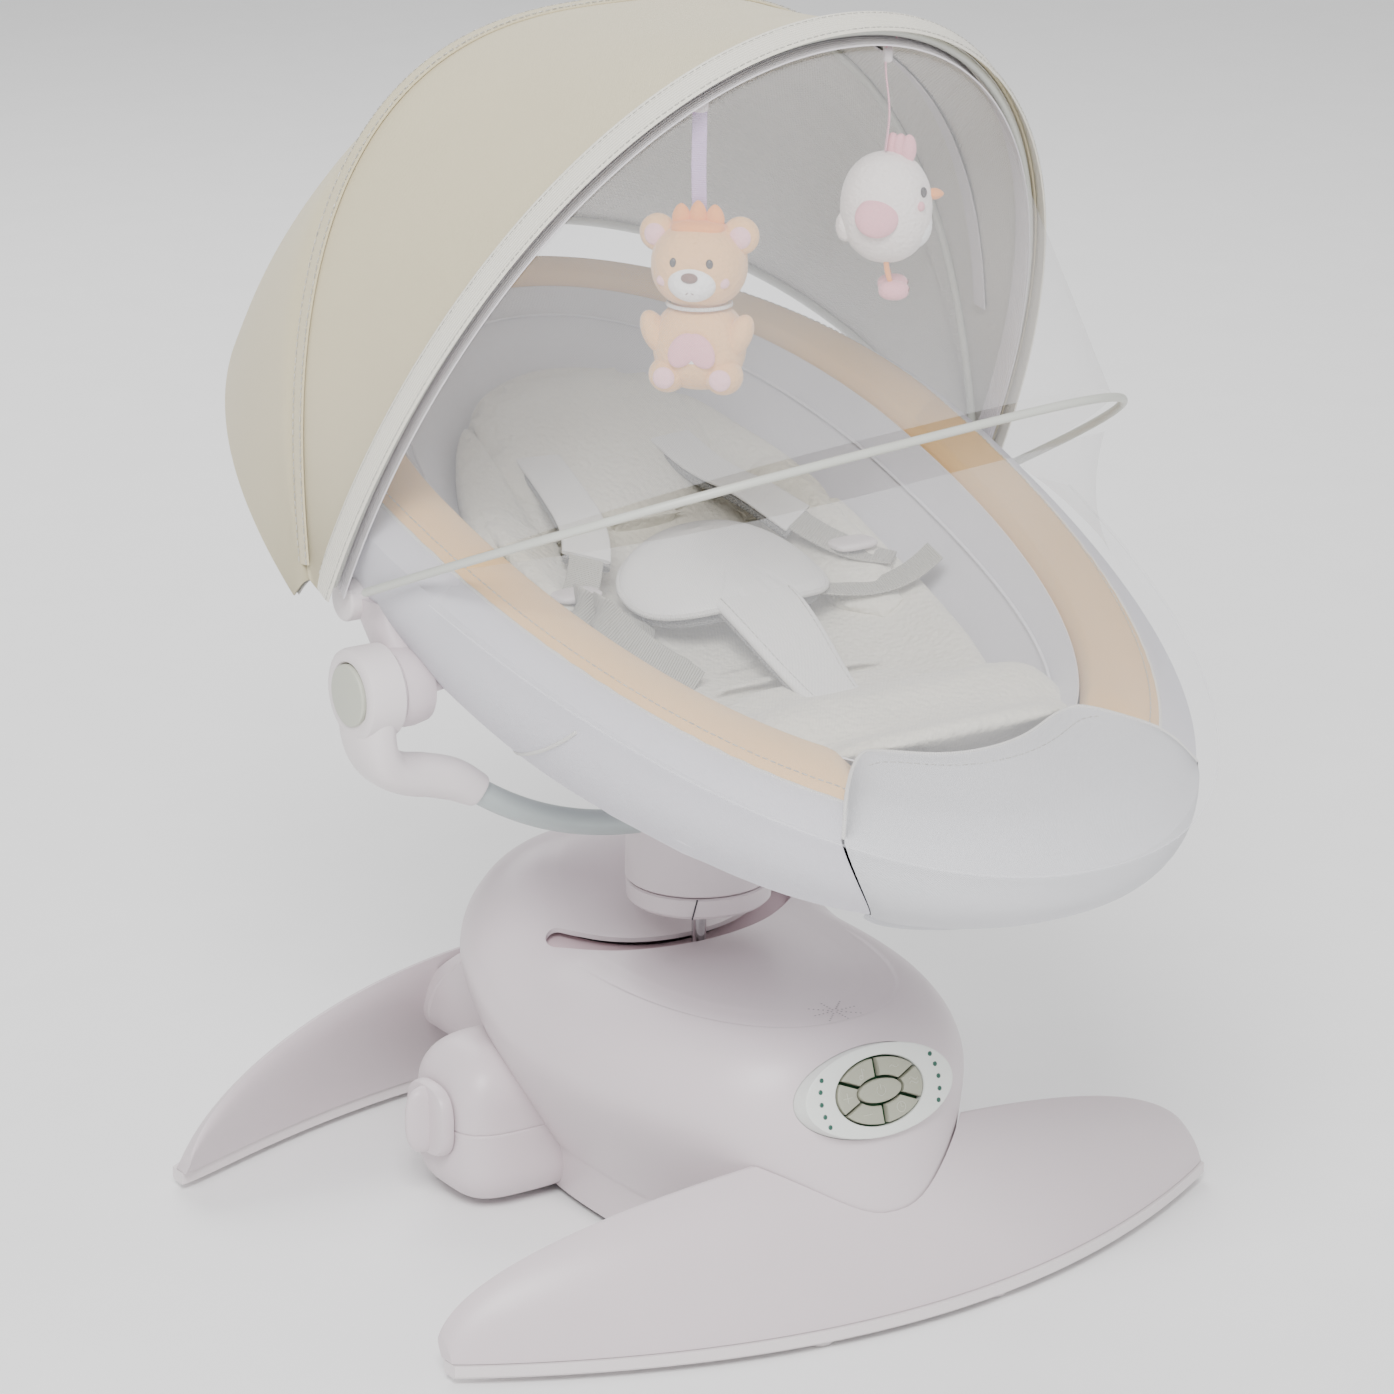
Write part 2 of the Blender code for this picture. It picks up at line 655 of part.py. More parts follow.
def build_head(carrier):
    """Ring and hub on the post, and the yoke through the hub."""
    lower = cylinder("head_ring", HEAD_RADIUS * 0.985, (0, 0, HEAD_BOTTOM), (0, 0, HEAD_SPLIT - GAP), 36,
                     HEAD_RADIUS)
    finish(lower, carrier, shell_plastic())
    hub = cylinder("swing_head", HEAD_RADIUS, (0, 0, HEAD_SPLIT), (0, 0, HEAD_TOP), 36, HEAD_RADIUS * 0.97)
    finish(hub, carrier, shell_plastic())
    bore = cylinder("post bore", POST_RADIUS + GAP, (0, 0, HEAD_BOTTOM - 0.01),
                    (0, 0, HEAD_SPLIT + 0.020 + GAP), 20)
    finish(bore, carrier, dark_part(), cutter=True)
    cut(lower, bore)
    cut(hub, bore)
    passage = tube("yoke bore", yoke_line(), YOKE_RADIUS + GAP, resolution=4)
    cut(hub, finish(passage, carrier, dark_part(), cutter=True))
    yoke = tube("yoke_tube", yoke_line(), YOKE_RADIUS, resolution=4)
    finish(yoke, carrier, grey_tube())


def bracket_section(centre, direction, half_y, half_t, count=20):
    """Rounded outline across the bracket's path in the X-Z plane."""
    across = Vector((0, 1, 0))
    normal = Vector((-direction[1], 0, direction[0]))
    ring = []
    for index in range(count):
        angle = 2 * math.pi * index / count
        ring.append(Vector(centre) + across * (half_y * signed_power(math.cos(angle), 0.75))
                    + normal * (half_t * signed_power(math.sin(angle), 0.75)))
    return ring


def build_bracket(carrier, side, word):
    """Elbow from the yoke to the recline hinge, its button and pin."""
    middle_x = (BRACKET_INNER_X + BRACKET_OUTER_X) / 2
    half_t = (BRACKET_OUTER_X - BRACKET_INNER_X) / 2
    path = (((0.158, 0.2942), 0.0108, 0.0108, 36), ((0.172, 0.3025), 0.0125, 0.0125, 28),
            ((0.190, 0.3085), 0.0145, 0.0125, 14), ((0.206, 0.3125), 0.0170, 0.0120, 20),
            ((0.2205, 0.3210), 0.0200, 0.0118, 52), ((middle_x, 0.3380), 0.0225, half_t, 90),
            ((middle_x, RECLINE_Z), 0.0245, half_t, 90))
    rings = []
    for (x, z), half_y, half, turn in path:
        angle = math.radians(turn)
        direction = (side * math.cos(angle), math.sin(angle))
        rings.append(bracket_section((side * x, RECLINE_Y, z), direction, half_y, half))
    elbow = loft(f"{word}_recline_bracket", rings)
    finish(elbow, carrier, head_plastic())
    hub = cylinder(f"{word} bracket hub", BRACKET_HUB_RADIUS, (side * BRACKET_INNER_X, RECLINE_Y, RECLINE_Z),
                   (side * BRACKET_OUTER_X, RECLINE_Y, RECLINE_Z), 32)
    cut(elbow, finish(hub, carrier, head_plastic(), cutter=True), "UNION")
    socket = tube(f"{word} yoke socket", yoke_line(), YOKE_RADIUS + GAP, resolution=4)
    cut(elbow, finish(socket, carrier, dark_part(), cutter=True))
    pocket = cylinder(f"{word} button pocket", RECLINE_BUTTON_RADIUS + GAP * 1.5,
                      (side * (BRACKET_OUTER_X - 0.006), RECLINE_Y, RECLINE_Z),
                      (side * (BRACKET_OUTER_X + 0.01), RECLINE_Y, RECLINE_Z), 36)
    cut(elbow, finish(pocket, carrier, dark_part(), cutter=True))
    pin_bore = cylinder(f"{word} pin bore", PIN_RADIUS + GAP,
                        (side * (BRACKET_INNER_X - 0.01), RECLINE_Y, RECLINE_Z),
                        (side * (BRACKET_OUTER_X - 0.002), RECLINE_Y, RECLINE_Z), 20)
    cut(elbow, finish(pin_bore, carrier, dark_part(), cutter=True))
    pin = cylinder(f"{word}_hinge_pin", PIN_RADIUS, (side * (BRACKET_INNER_X - 0.008), RECLINE_Y, RECLINE_Z),
                   (side * (BRACKET_OUTER_X - 0.0062), RECLINE_Y, RECLINE_Z), 20)
    finish(pin, carrier, steel())
    face = side * (BRACKET_OUTER_X - 0.006 + RECLINE_BUTTON_TRAVEL + GAP)
    owner = anchor(f"{word} recline button axis", (face, RECLINE_Y, RECLINE_Z), carrier)
    button = cylinder(f"{word}_recline_button", RECLINE_BUTTON_RADIUS, (face, RECLINE_Y, RECLINE_Z),
                      (side * (BRACKET_OUTER_X + 0.002), RECLINE_Y, RECLINE_Z), 32)
    finish(button, owner, material("button grey", (0.30, 0.31, 0.25), 0.5))


# ---- seat ----------------------------------------------------------------------------------------
def rim_plane(y):
    """Height of the rim's plane at a distance behind the post."""
    return RIM_HEIGHT + RIM_SLOPE * y


def rim_outline(angle, grow=0.0):
    """Plan of the rim: an egg, blunt at the foot end; angle 0 is the right side and 90 the head end."""
    sine, cosine = math.sin(angle), math.cos(angle)
    exponent = RIM_REAR_EXPONENT if sine > 0 else RIM_FRONT_EXPONENT
    reach = RIM_REAR if sine > 0 else RIM_FRONT
    x = (RIM_HALF_WIDTH + grow) * signed_power(cosine, 2 / exponent)
    y = RIM_CENTRE_Y + (reach + grow) * signed_power(sine, 2 / exponent)
    return x, y


def opening_outline(angle, grow=0.0):
    """Plan of the inner edge of the padded rim."""
    sine, cosine = math.sin(angle), math.cos(angle)
    reach = OPENING_REAR if sine > 0 else OPENING_FRONT
    x = (OPENING_HALF_WIDTH + grow) * signed_power(cosine, 2 / 2.15)
    y = OPENING_CENTRE_Y + (reach + grow) * signed_power(sine, 2 / 2.15)
    return x, y


def bucket_point(angle, share, grow=0.0):
    """Point of the bucket's outside: share 0 is the rim, 1 the lowest middle."""
    quarter = share * math.pi / 2
    width = math.cos(quarter) ** (2 / BUCKET_EXPONENT) if share < 1 else 0.0
    drop = math.sin(quarter) ** (2 / BUCKET_EXPONENT)
    x, y = rim_outline(angle, grow)
    x, y = x * width, BUCKET_CENTRE_Y + (y - BUCKET_CENTRE_Y) * width
    nose = min(max((BUCKET_CENTRE_Y - y) / BUCKET_NOSE_LENGTH, 0.0), 1.0)
    depth = BUCKET_DEPTH * (1.0 - BUCKET_NOSE_LIFT * nose * nose)
    return x, y, rim_plane(y) - 0.0025 - (depth + grow) * drop


def tub_point(angle, share, lift=0.0):
    """Point of the fabric tub: share 1 is the opening's edge, 0 the middle."""
    x, y = opening_outline(angle)
    x, y = x * share, TUB_LOW_Y + (y - TUB_LOW_Y) * share
    along = 1.0 - ((y - TUB_LOW_Y) / TUB_HALF_LENGTH) ** 2
    depth = TUB_DEPTH * (1.0 - share ** 4.5) * (0.2 + 0.8 * along)
    return x, y, rim_plane(y) + 0.0015 - depth + lift


def ring_angles(count):
    """Angles of the points round the seat."""
    return [2 * math.pi * index / count for index in range(count)]


BUCKET_SHARES = (0.0, 0.12, 0.26, 0.42, 0.58, 0.74, 0.88)


def bucket_envelope(owner, name, grow):
    """Closed solid of the bucket with a clearance."""
    rings = [[bucket_point(angle, share, grow) for angle in ring_angles(36)] for share in BUCKET_SHARES]
    return finish(loft(name, rings), owner, shell_plastic(), cutter=True)


def build_seat(seat):
    """Bucket, rim tube, fabric tub, liner and apron."""
    count = 36
    shell = loft("seat_bucket", [[bucket_point(angle, share) for angle in ring_angles(count)]
                                 for share in BUCKET_SHARES], cap_start=False)
    solidify(shell, SHELL)
    finish(shell, seat, material("seat outer", (0.74, 0.73, 0.76), 0.8))
    ring = []
    for angle in ring_angles(36):
        x, y = rim_outline(angle, -FRAME_INSET)
        ring.append((x, y, rim_plane(y) - 0.020))
    finish(tube("seat_frame_tube", ring, FRAME_TUBE_RADIUS, cyclic=True), seat, steel())
    rings = []
    for share, crown in ((0.0, 0.0), (0.35, 0.005)):
        row = []
        for angle in ring_angles(count):
            outer, inner = rim_outline(angle, -0.002), opening_outline(angle)
            y = blend(outer[1], inner[1], share)
            row.append((blend(outer[0], inner[0], share), y, rim_plane(y) + 0.0015 + crown))
        rings.append(row)
    rings += [[tub_point(angle, share) for angle in ring_angles(count)]
              for share in (1.0, 0.93, 0.84, 0.70, 0.45, 0.15)]
    tub = loft("seat_cover", rings, cap_start=False)
    solidify(tub, FABRIC, 1.0 if tub.data.polygons[0].normal.z < 0 else -1.0)
    finish(tub, seat, material("peach fabric", (0.90, 0.76, 0.58), 0.9))
    build_liner(seat)
    build_apron(seat)


def build_liner(seat):
    """Plush liner that lies in the tub."""
    angles = ring_angles(36)
    edge = 0.80
    clear = 0.004
    top = [(edge, 0.006), (0.74, 0.016), (0.60, LINER_THICK), (0.20, LINER_THICK)]
    rings = [[tub_point(angle, share, clear) for angle in angles] for share in (0.20, 0.60, 0.74, edge)]
    rings += [[tub_point(angle, share, clear + lift) for angle in angles] for share, lift in top]
    finish(loft("seat_liner", rings), seat, material("plush", (0.86, 0.83, 0.75), 1.0))


def build_apron(seat):
    """Fabric apron over the foot end, from the opening's front edge down over the nose."""
    low, high = math.radians(270 - 50), math.radians(270 + 50)
    steps = 14
    rows = []
    for grade in (1.0, 0.72, 0.36, 0.08):
        row = []
        for i in range(steps + 1):
            angle = blend(low, high, i / steps)
            outer, inner = rim_outline(angle, 0.0), opening_outline(angle)
            share = grade * (1.0 - (abs(2 * i / steps - 1)) ** 2.0)
            x, y = blend(outer[0], inner[0], share), blend(outer[1], inner[1], share)
            row.append((x, y, rim_plane(y) + 0.0137 - 0.005 * (1 - grade) ** 2))
        rows.append(row)
    for share, grow in ((0.0, 0.0046), (0.12, 0.0046), (0.26, 0.0040), (0.40, 0.0036)):
        rows.append([bucket_point(blend(low, high, i / steps), share, grow) for i in range(steps + 1)])
    apron = loft("foot_apron", rows, closed=False, cap_start=False, cap_end=False)
    up = sum((face.normal.z for face in apron.data.polygons[:steps]))
    solidify(apron, CLOTH, -1.0 if up > 0 else 1.0)
    finish(apron, seat, material("apron fabric", (0.78, 0.78, 0.80), 0.9))


def build_harness(seat):
    """Shoulder straps, chest pad, waist straps and crotch strap, lying over the liner."""
    paint = material("webbing", (0.62, 0.61, 0.58), 0.5)
    above = LINER_THICK + 0.0090

    def over(x, y, lift=0.0):
        """Point above the liner at a plan place."""
        reach = max(abs(x) / OPENING_HALF_WIDTH,
                    abs(y - TUB_LOW_Y) / (OPENING_REAR + 0.055 if y > TUB_LOW_Y else OPENING_FRONT - 0.055))
        along = 1.0 - ((y - TUB_LOW_Y) / TUB_HALF_LENGTH) ** 2
        depth = TUB_DEPTH * (1.0 - reach ** 4.5) * (0.2 + 0.8 * along)
        return Vector((x, y, rim_plane(y) + 0.0015 - depth + above + lift))

    def strap(name, line, width, across, thick=0.0025):
        """Flat strap along a line of points."""
        rings = []
        for index, point in enumerate(line):
            side = Vector(across) * (width / 2)
            following = line[min(index + 1, len(line) - 1)] - line[max(index - 1, 0)]
            up = following.cross(Vector(across)).normalized() * (thick / 2)
            if up.z < 0:
                up = -up
            rings.append([point - side - up, point + side - up, point + side + up, point - side + up])
        finish(loft(name, rings), seat, paint)

    for side, word in ((-1, "left"), (1, "right")):
        line = [over(side * x, y, lift) for x, y, lift in (
            (0.046, 0.128, 0.004), (0.048, 0.100, 0.013), (0.052, 0.070, 0.024), (0.060, 0.040, 0.034),
            (0.076, 0.012, 0.036), (0.092, -0.010, 0.028), (0.108, -0.028, 0.014), (0.120, -0.040, 0.006))]
        strap(f"{word}_harness_strap", line, 0.022, (1, 0.35 * side, 0))
    rings = []
    for lift in (0.036, 0.046):
        ring = []
        for index in range(28):
            angle = 2 * math.pi * index / 28
            x = 0.068 * signed_power(math.cos(angle), 0.8)
            y = -0.030 + 0.038 * signed_power(math.sin(angle), 0.8)
            ring.append(over(0, y, lift) + Vector((x, 0, 0)))
        rings.append(ring)
    finish(loft("chest_pad", rings), seat, material("apron fabric", (0.78, 0.78, 0.80), 0.9))
    line = [over(0, y, lift) for y, lift in (
        (-0.078, 0.034), (-0.105, 0.024), (-0.135, 0.012), (-0.165, 0.004))]
    strap("crotch_strap", line, 0.044, (1, 0, 0), 0.006)


def build_seat_hubs(seat, bucket):
    """Hinge bosses and bow sockets on the bucket's sides."""
    for side, word in ((-1, "left"), (1, "right")):
        boss = cylinder(f"{word}_seat_hinge", 0.024, (side * 0.170, RECLINE_Y, RECLINE_Z),
                        (side * (BRACKET_INNER_X - 0.0008), RECLINE_Y, RECLINE_Z), 32)
        finish(boss, seat, head_plastic())
        web_xs = sorted((side * 0.180, side * (BRACKET_INNER_X - 0.0012)))
        web = rounded_box(f"{word} hinge web", (web_xs[0], 0.006, RECLINE_Z),
                          (web_xs[1], PIVOT_Y + 0.006, PIVOT_Z), 0)
        cut(boss, finish(web, seat, head_plastic(), cutter=True), "UNION")
        clip = cylinder(f"{word} canopy clip", 0.0125, (side * 0.190, PIVOT_Y, PIVOT_Z),
                        (side * (NET_BOW["half"] - BOW_RADIUS - 0.0006), PIVOT_Y, PIVOT_Z), 24)
        cut(boss, finish(clip, seat, head_plastic(), cutter=True), "UNION")
        cut(boss, bucket)
        bore = cylinder(f"{word} boss bore", PIN_RADIUS + GAP, (side * 0.15, RECLINE_Y, RECLINE_Z),
                        (side * 0.23, RECLINE_Y, RECLINE_Z), 20)
        cut(boss, finish(bore, seat, dark_part(), cutter=True))


# ---- canopy and net ------------------------------------------------------------------------------
def bow_point(bow, turn, grow=0.0):
    """Point of a bow: turn runs from 0 at the right pivot to 1 at the left pivot."""
    angle = math.pi * turn
    power = 2 / bow["exponent"]
    x = (bow["half"] + grow) * signed_power(math.cos(angle), power)
    reach = (bow["reach"] + grow) * signed_power(math.sin(angle), power)
    lift = math.radians(bow["angle"])
    droop = bow.get("droop", 0.0) * x / bow["half"] * min(reach / bow["reach"], 1.0)
    return Vector((x, PIVOT_Y - reach * math.cos(lift), PIVOT_Z + reach * math.sin(lift) + droop))


def build_bow(owner, name, bow, count=26):
    """One bow from pivot to pivot."""
    ease = [0.5 - 0.5 * math.cos(math.pi * i / count) for i in range(count + 1)]
    turns = [0.5 * (i / count) + 0.5 * e for i, e in enumerate(ease)]
    turns = [0.012 + 0.976 * t for t in turns]
    finish(tube(name, [bow_point(bow, t) for t in turns], BOW_RADIUS), owner, grey_tube())


def panel_between(name, first, second, rows, columns, inset, belly, start=0.03, end=0.97):
    """Cloth stretched between two bows; belly moves its middle away from the pivot line."""
    rings = []
    for row in range(rows + 1):
        share = blend(start, end, row / rows)
        ring = []
        for column in range(columns + 1):
            turn = blend(0.035, 0.965, column / columns)
            point = bow_point(first, turn, inset).lerp(bow_point(second, turn, inset), share)
            away = Vector((0, point.y - PIVOT_Y, point.z - PIVOT_Z)).normalized()
            ring.append(point + away * (belly * math.sin(math.pi * share) * math.sin(math.pi * turn)))
        rings.append(ring)
    sheet = loft(name, rings, closed=False, cap_start=False, cap_end=False)
    return solidify(sheet, CLOTH, 0.0)


def net_curtain(name):
    """Net that hangs from the net bow to just outside the seat's rim."""
    columns = 18
    rows = []
    for share in (0.11, 0.38, 0.7, 1.0):
        row = []
        for column in range(columns + 1):
            turn = blend(0.07, 0.93, column / columns)
            top = bow_point(NET_BOW, turn, -CURTAIN_INSET)
            x, y = rim_outline(-math.pi * turn, CURTAIN_GROW)
            y = min(y, PIVOT_Y - 0.030)
            hem = Vector((x, y, rim_plane(y) + 0.004))
            row.append(top.lerp(hem, share) + Vector((0, CURTAIN_SWEEP * math.sin(math.pi * share), 0)))
        rows.append(row)
    return solidify(loft(name, rows, closed=False, cap_start=False, cap_end=False), CLOTH, 0.0)


# ---- toys ----------------------------------------------------------------------------------------
def hanging_point(x):
    """Point of the front bow above a toy."""
    low, high = 0.0, 1.0
    for _ in range(40):
        turn = (low + high) / 2
        if bow_point(FRONT_BOW, turn).x > x:
            low = turn
        else:
            high = turn
    return bow_point(FRONT_BOW, (low + high) / 2)


def ball(name, frame, centre, radii, rings=7, sides=11):
    """Ellipsoid at a place in a turned frame."""
    work = bmesh.new()
    place = frame @ Matrix.Translation(centre) @ Matrix.Diagonal((*radii, 1.0))
    bmesh.ops.create_uvsphere(work, u_segments=sides, v_segments=rings, radius=1.0, matrix=place)
    mesh = bpy.data.meshes.new(name)
    work.to_mesh(mesh)
    work.free()
    return new_object(name, mesh)


def build_toy(front, name, toy):
    """Soft toy of merged ellipsoids under a loop of ribbon, turned to the side it faces."""
    top = hanging_point(toy["x"])
    hook = Vector((toy["x"], top.y + 0.010, top.z - BOW_RADIUS - 0.004))
    owner = anchor(name + " hook", tuple(hook), front)
    drop = toy["strap"]
    ribbon = rounded_box(name + " ribbon", hook + Vector((-0.004, -0.001, -drop - 0.006)),
                         hook + Vector((0.004, 0.001, 0)), 0.0)
    plush = material(name + " plush", toy["colour"], 1.0)
    turned = Matrix.Translation(hook) @ Matrix.Rotation(math.radians(toy["turn"]), 4, "Z")
    turned = turned @ Matrix.Translation((0, 0, -drop))
    pieces = [ball(f"{name} lobe {index}", turned, place, radii)
              for index, (place, radii) in enumerate(toy["lobes"])]
    body = pieces[0]
    body.name = name + "_toy"
    finish(body, owner, plush)
    for piece in pieces[1:] + [ribbon]:
        cut(body, finish(piece, owner, plush, cutter=True), "UNION")


# ---- assembly ------------------------------------------------------------------------------------
def main():
    """Build the whole swing."""
    root = anchor("base", (0, 0, 0))
    housing = housing_envelope(root, "housing envelope", SEAM)
    build_housing(root)
    build_leg(root, "front", FRONT_LEG, housing)
    build_leg(root, "rear", REAR_LEG, housing)
    build_rear_neck(root, housing)
    build_pods(root, housing)
    build_panel(root)
    carrier = anchor("swing axis", tuple(swing_axis()[0]), root)
    inlet = build_drive(root, carrier)
    inside = housing_envelope(root, "housing inside for the inlet", -SHELL - SEAM)
    cut(inlet, inside, "INTERSECT")
    build_head(carrier)
    for side, word in ((-1, "left"), (1, "right")):
        build_bracket(carrier, side, word)
    seat = anchor("recline axis", (0, RECLINE_Y, RECLINE_Z), carrier)
    build_seat(seat)
    build_harness(seat)
    build_seat_hubs(seat, bucket_envelope(seat, "bucket envelope", GAP))
    pivot = (0, PIVOT_Y, PIVOT_Z)
    mid = anchor("canopy mid axis", pivot, seat)
    front = anchor("canopy front axis", pivot, mid)
    net = anchor("net bow axis", pivot, front)
    build_bow(seat, "canopy_rear_bow", REAR_BOW)
    build_bow(mid, "canopy_mid_bow", MID_BOW)
    build_bow(front, "canopy_front_bow", FRONT_BOW)
    build_bow(net, "net_bow", NET_BOW)
    canopy = material("canopy fabric", (0.66, 0.61, 0.48), 0.9)
    sheet = panel_between("canopy_rear_fabric", REAR_BOW, MID_BOW, 5, 18, 0.0050, 0.004)
    finish(sheet, mid, canopy)
    sheet = panel_between("canopy_front_fabric", MID_BOW, FRONT_BOW, 5, 18, 0.0050, 0.000)
    finish(sheet, front, canopy)
    mesh_paint = material("net", (0.85, 0.85, 0.86), 0.9)
    sheet = panel_between("upper_net", FRONT_BOW, NET_BOW, 4, 18, -0.0045, 0.000, 0.035, 0.965)
    finish(sheet, net, mesh_paint)
    finish(net_curtain("lower_net"), net, mesh_paint)
    build_toy(front, "bear", BEAR)
    build_toy(front, "chick", CHICK)


main()
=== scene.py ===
"""Looks of an electric baby swing: moulded shells, tubes, upholstery, canopy, nets and toys.

Every shape is written relative to the swing post, in metres with +Z up, and is moved onto the
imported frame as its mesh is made.
"""
import logging
import math
from dataclasses import dataclass
from enum import Enum
from typing import Callable, Sequence

import bmesh
import bpy
import numpy as np
from mathutils import Matrix, Vector


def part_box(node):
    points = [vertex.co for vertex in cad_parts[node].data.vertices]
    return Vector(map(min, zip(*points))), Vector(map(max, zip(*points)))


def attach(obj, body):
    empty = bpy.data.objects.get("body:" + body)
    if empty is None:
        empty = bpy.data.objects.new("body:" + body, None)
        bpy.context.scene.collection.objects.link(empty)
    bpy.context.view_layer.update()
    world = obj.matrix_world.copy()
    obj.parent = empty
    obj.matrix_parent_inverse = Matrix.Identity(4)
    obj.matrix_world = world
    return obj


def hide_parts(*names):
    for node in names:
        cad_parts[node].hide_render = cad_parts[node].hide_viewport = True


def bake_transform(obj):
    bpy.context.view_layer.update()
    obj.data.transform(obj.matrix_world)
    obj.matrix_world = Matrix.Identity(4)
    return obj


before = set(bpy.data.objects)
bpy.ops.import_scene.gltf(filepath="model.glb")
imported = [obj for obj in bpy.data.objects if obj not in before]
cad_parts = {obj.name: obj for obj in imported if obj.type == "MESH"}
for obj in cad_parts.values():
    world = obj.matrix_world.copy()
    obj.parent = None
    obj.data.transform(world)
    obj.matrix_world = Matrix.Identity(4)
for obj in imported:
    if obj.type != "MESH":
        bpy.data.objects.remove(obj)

LOG = logging.getLogger("baby swing")
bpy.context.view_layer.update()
POST_LOW, POST_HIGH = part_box("swing_post")
POST_PLACE = np.array([0.0, (POST_LOW.y + POST_HIGH.y) / 2, 0.0])
PIVOT = np.array([0.0, 0.042, 0.409])
SIDES = ((-1, "left"), (1, "right"))
Colour = tuple[float, float, float]
Array = np.ndarray


# ---- arithmetic on arrays ---------------------------------------------------------------------------
def spow(value: Array, power: float) -> Array:
    """Value raised to a power, with its sign kept."""
    return np.sign(value) * np.abs(value) ** power


def ease(share: Array) -> Array:
    """Ease from 0 to 1: 3t^2 - 2t^3, clamped."""
    share = np.clip(share, 0.0, 1.0)
    return share * share * (3.0 - 2.0 * share)


def mix(first: Array, second: Array, share: Array) -> Array:
    """Straight mix of two values or arrays."""
    return first + (second - first) * share


def bell(value: Array, middle: float, width: float) -> Array:
    """Gaussian bump of height 1: exp(-((v - m) / w)^2)."""
    return np.exp(-(((value - middle) / width) ** 2))


def points_of(x: Array, y: Array, z: Array) -> Array:
    """Stack three arrays, broadcast to one grid, into points."""
    return np.stack(np.broadcast_arrays(x, y, z), axis=-1).astype(float)


def through(values: Sequence, at: Array) -> Array:
    """Cubic Hermite curve through equally spaced values.

    Args:
        values: the values or points, one for each whole number from 0.
        at: where to read the curve.

    Returns:
        The curve's values, with the shape of `at` followed by that of one value.
    """
    knots = np.asarray(values, float)
    slope = np.gradient(knots, axis=0)
    at = np.asarray(at, float)
    index = np.clip(np.floor(at).astype(int), 0, len(knots) - 2)
    t = (at - index).reshape(at.shape + (1,) * (knots.ndim - 1))
    square, cube = t * t, t * t * t
    return ((2 * cube - 3 * square + 1) * knots[index] + (cube - 2 * square + t) * slope[index]
            + (3 * square - 2 * cube) * knots[index + 1] + (cube - square) * slope[index + 1])


def turn_about_z(points: Array, degrees: float) -> Array:
    """Points turned about the vertical through the origin."""
    c, s = math.cos(math.radians(degrees)), math.sin(math.radians(degrees))
    return points @ np.array([[c, s, 0], [-s, c, 0], [0, 0, 1.0]])


def linear(red: int, green: int, blue: int) -> Colour:
    """Scene-linear colour of a display colour given in 0 to 255."""
    def one(value: int) -> float:
        """One channel by the display curve."""
        share = value / 255
        return share / 12.92 if share <= 0.04045 else ((share + 0.055) / 1.055) ** 2.4
    return one(red), one(green), one(blue)


# ---- shader maths -----------------------------------------------------------------------------------
class Signal:
    """A shader value that adds Math nodes when it is used in arithmetic."""

    def __init__(self, recipe: "Recipe", socket: bpy.types.NodeSocket) -> None:
        """Wrap one output socket."""
        self.recipe = recipe
        self.socket = socket

    def _math(self, operation: str, first: object, second: object = 0.0) -> "Signal":
        """One Math node."""
        return self.recipe.node("ShaderNodeMath", {"operation": operation}, {0: first, 1: second})

    def __add__(self, other: object) -> "Signal":
        """self + other."""
        return self._math("ADD", self, other)

    def __radd__(self, other: object) -> "Signal":
        """other + self."""
        return self._math("ADD", other, self)

    def __sub__(self, other: object) -> "Signal":
        """self - other."""
        return self._math("SUBTRACT", self, other)

    def __rsub__(self, other: object) -> "Signal":
        """other - self."""
        return self._math("SUBTRACT", other, self)

    def __mul__(self, other: object) -> "Signal":
        """self * other."""
        return self._math("MULTIPLY", self, other)

    def __rmul__(self, other: object) -> "Signal":
        """other * self."""
        return self._math("MULTIPLY", other, self)

    def __pow__(self, other: object) -> "Signal":
        """self ** other."""
        return self._math("POWER", self, other)

    def sine(self) -> "Signal":
        """Sine of the value in radians."""
        return self._math("SINE", self)

    def size(self) -> "Signal":
        """Absolute value."""
        return self._math("ABSOLUTE", self)


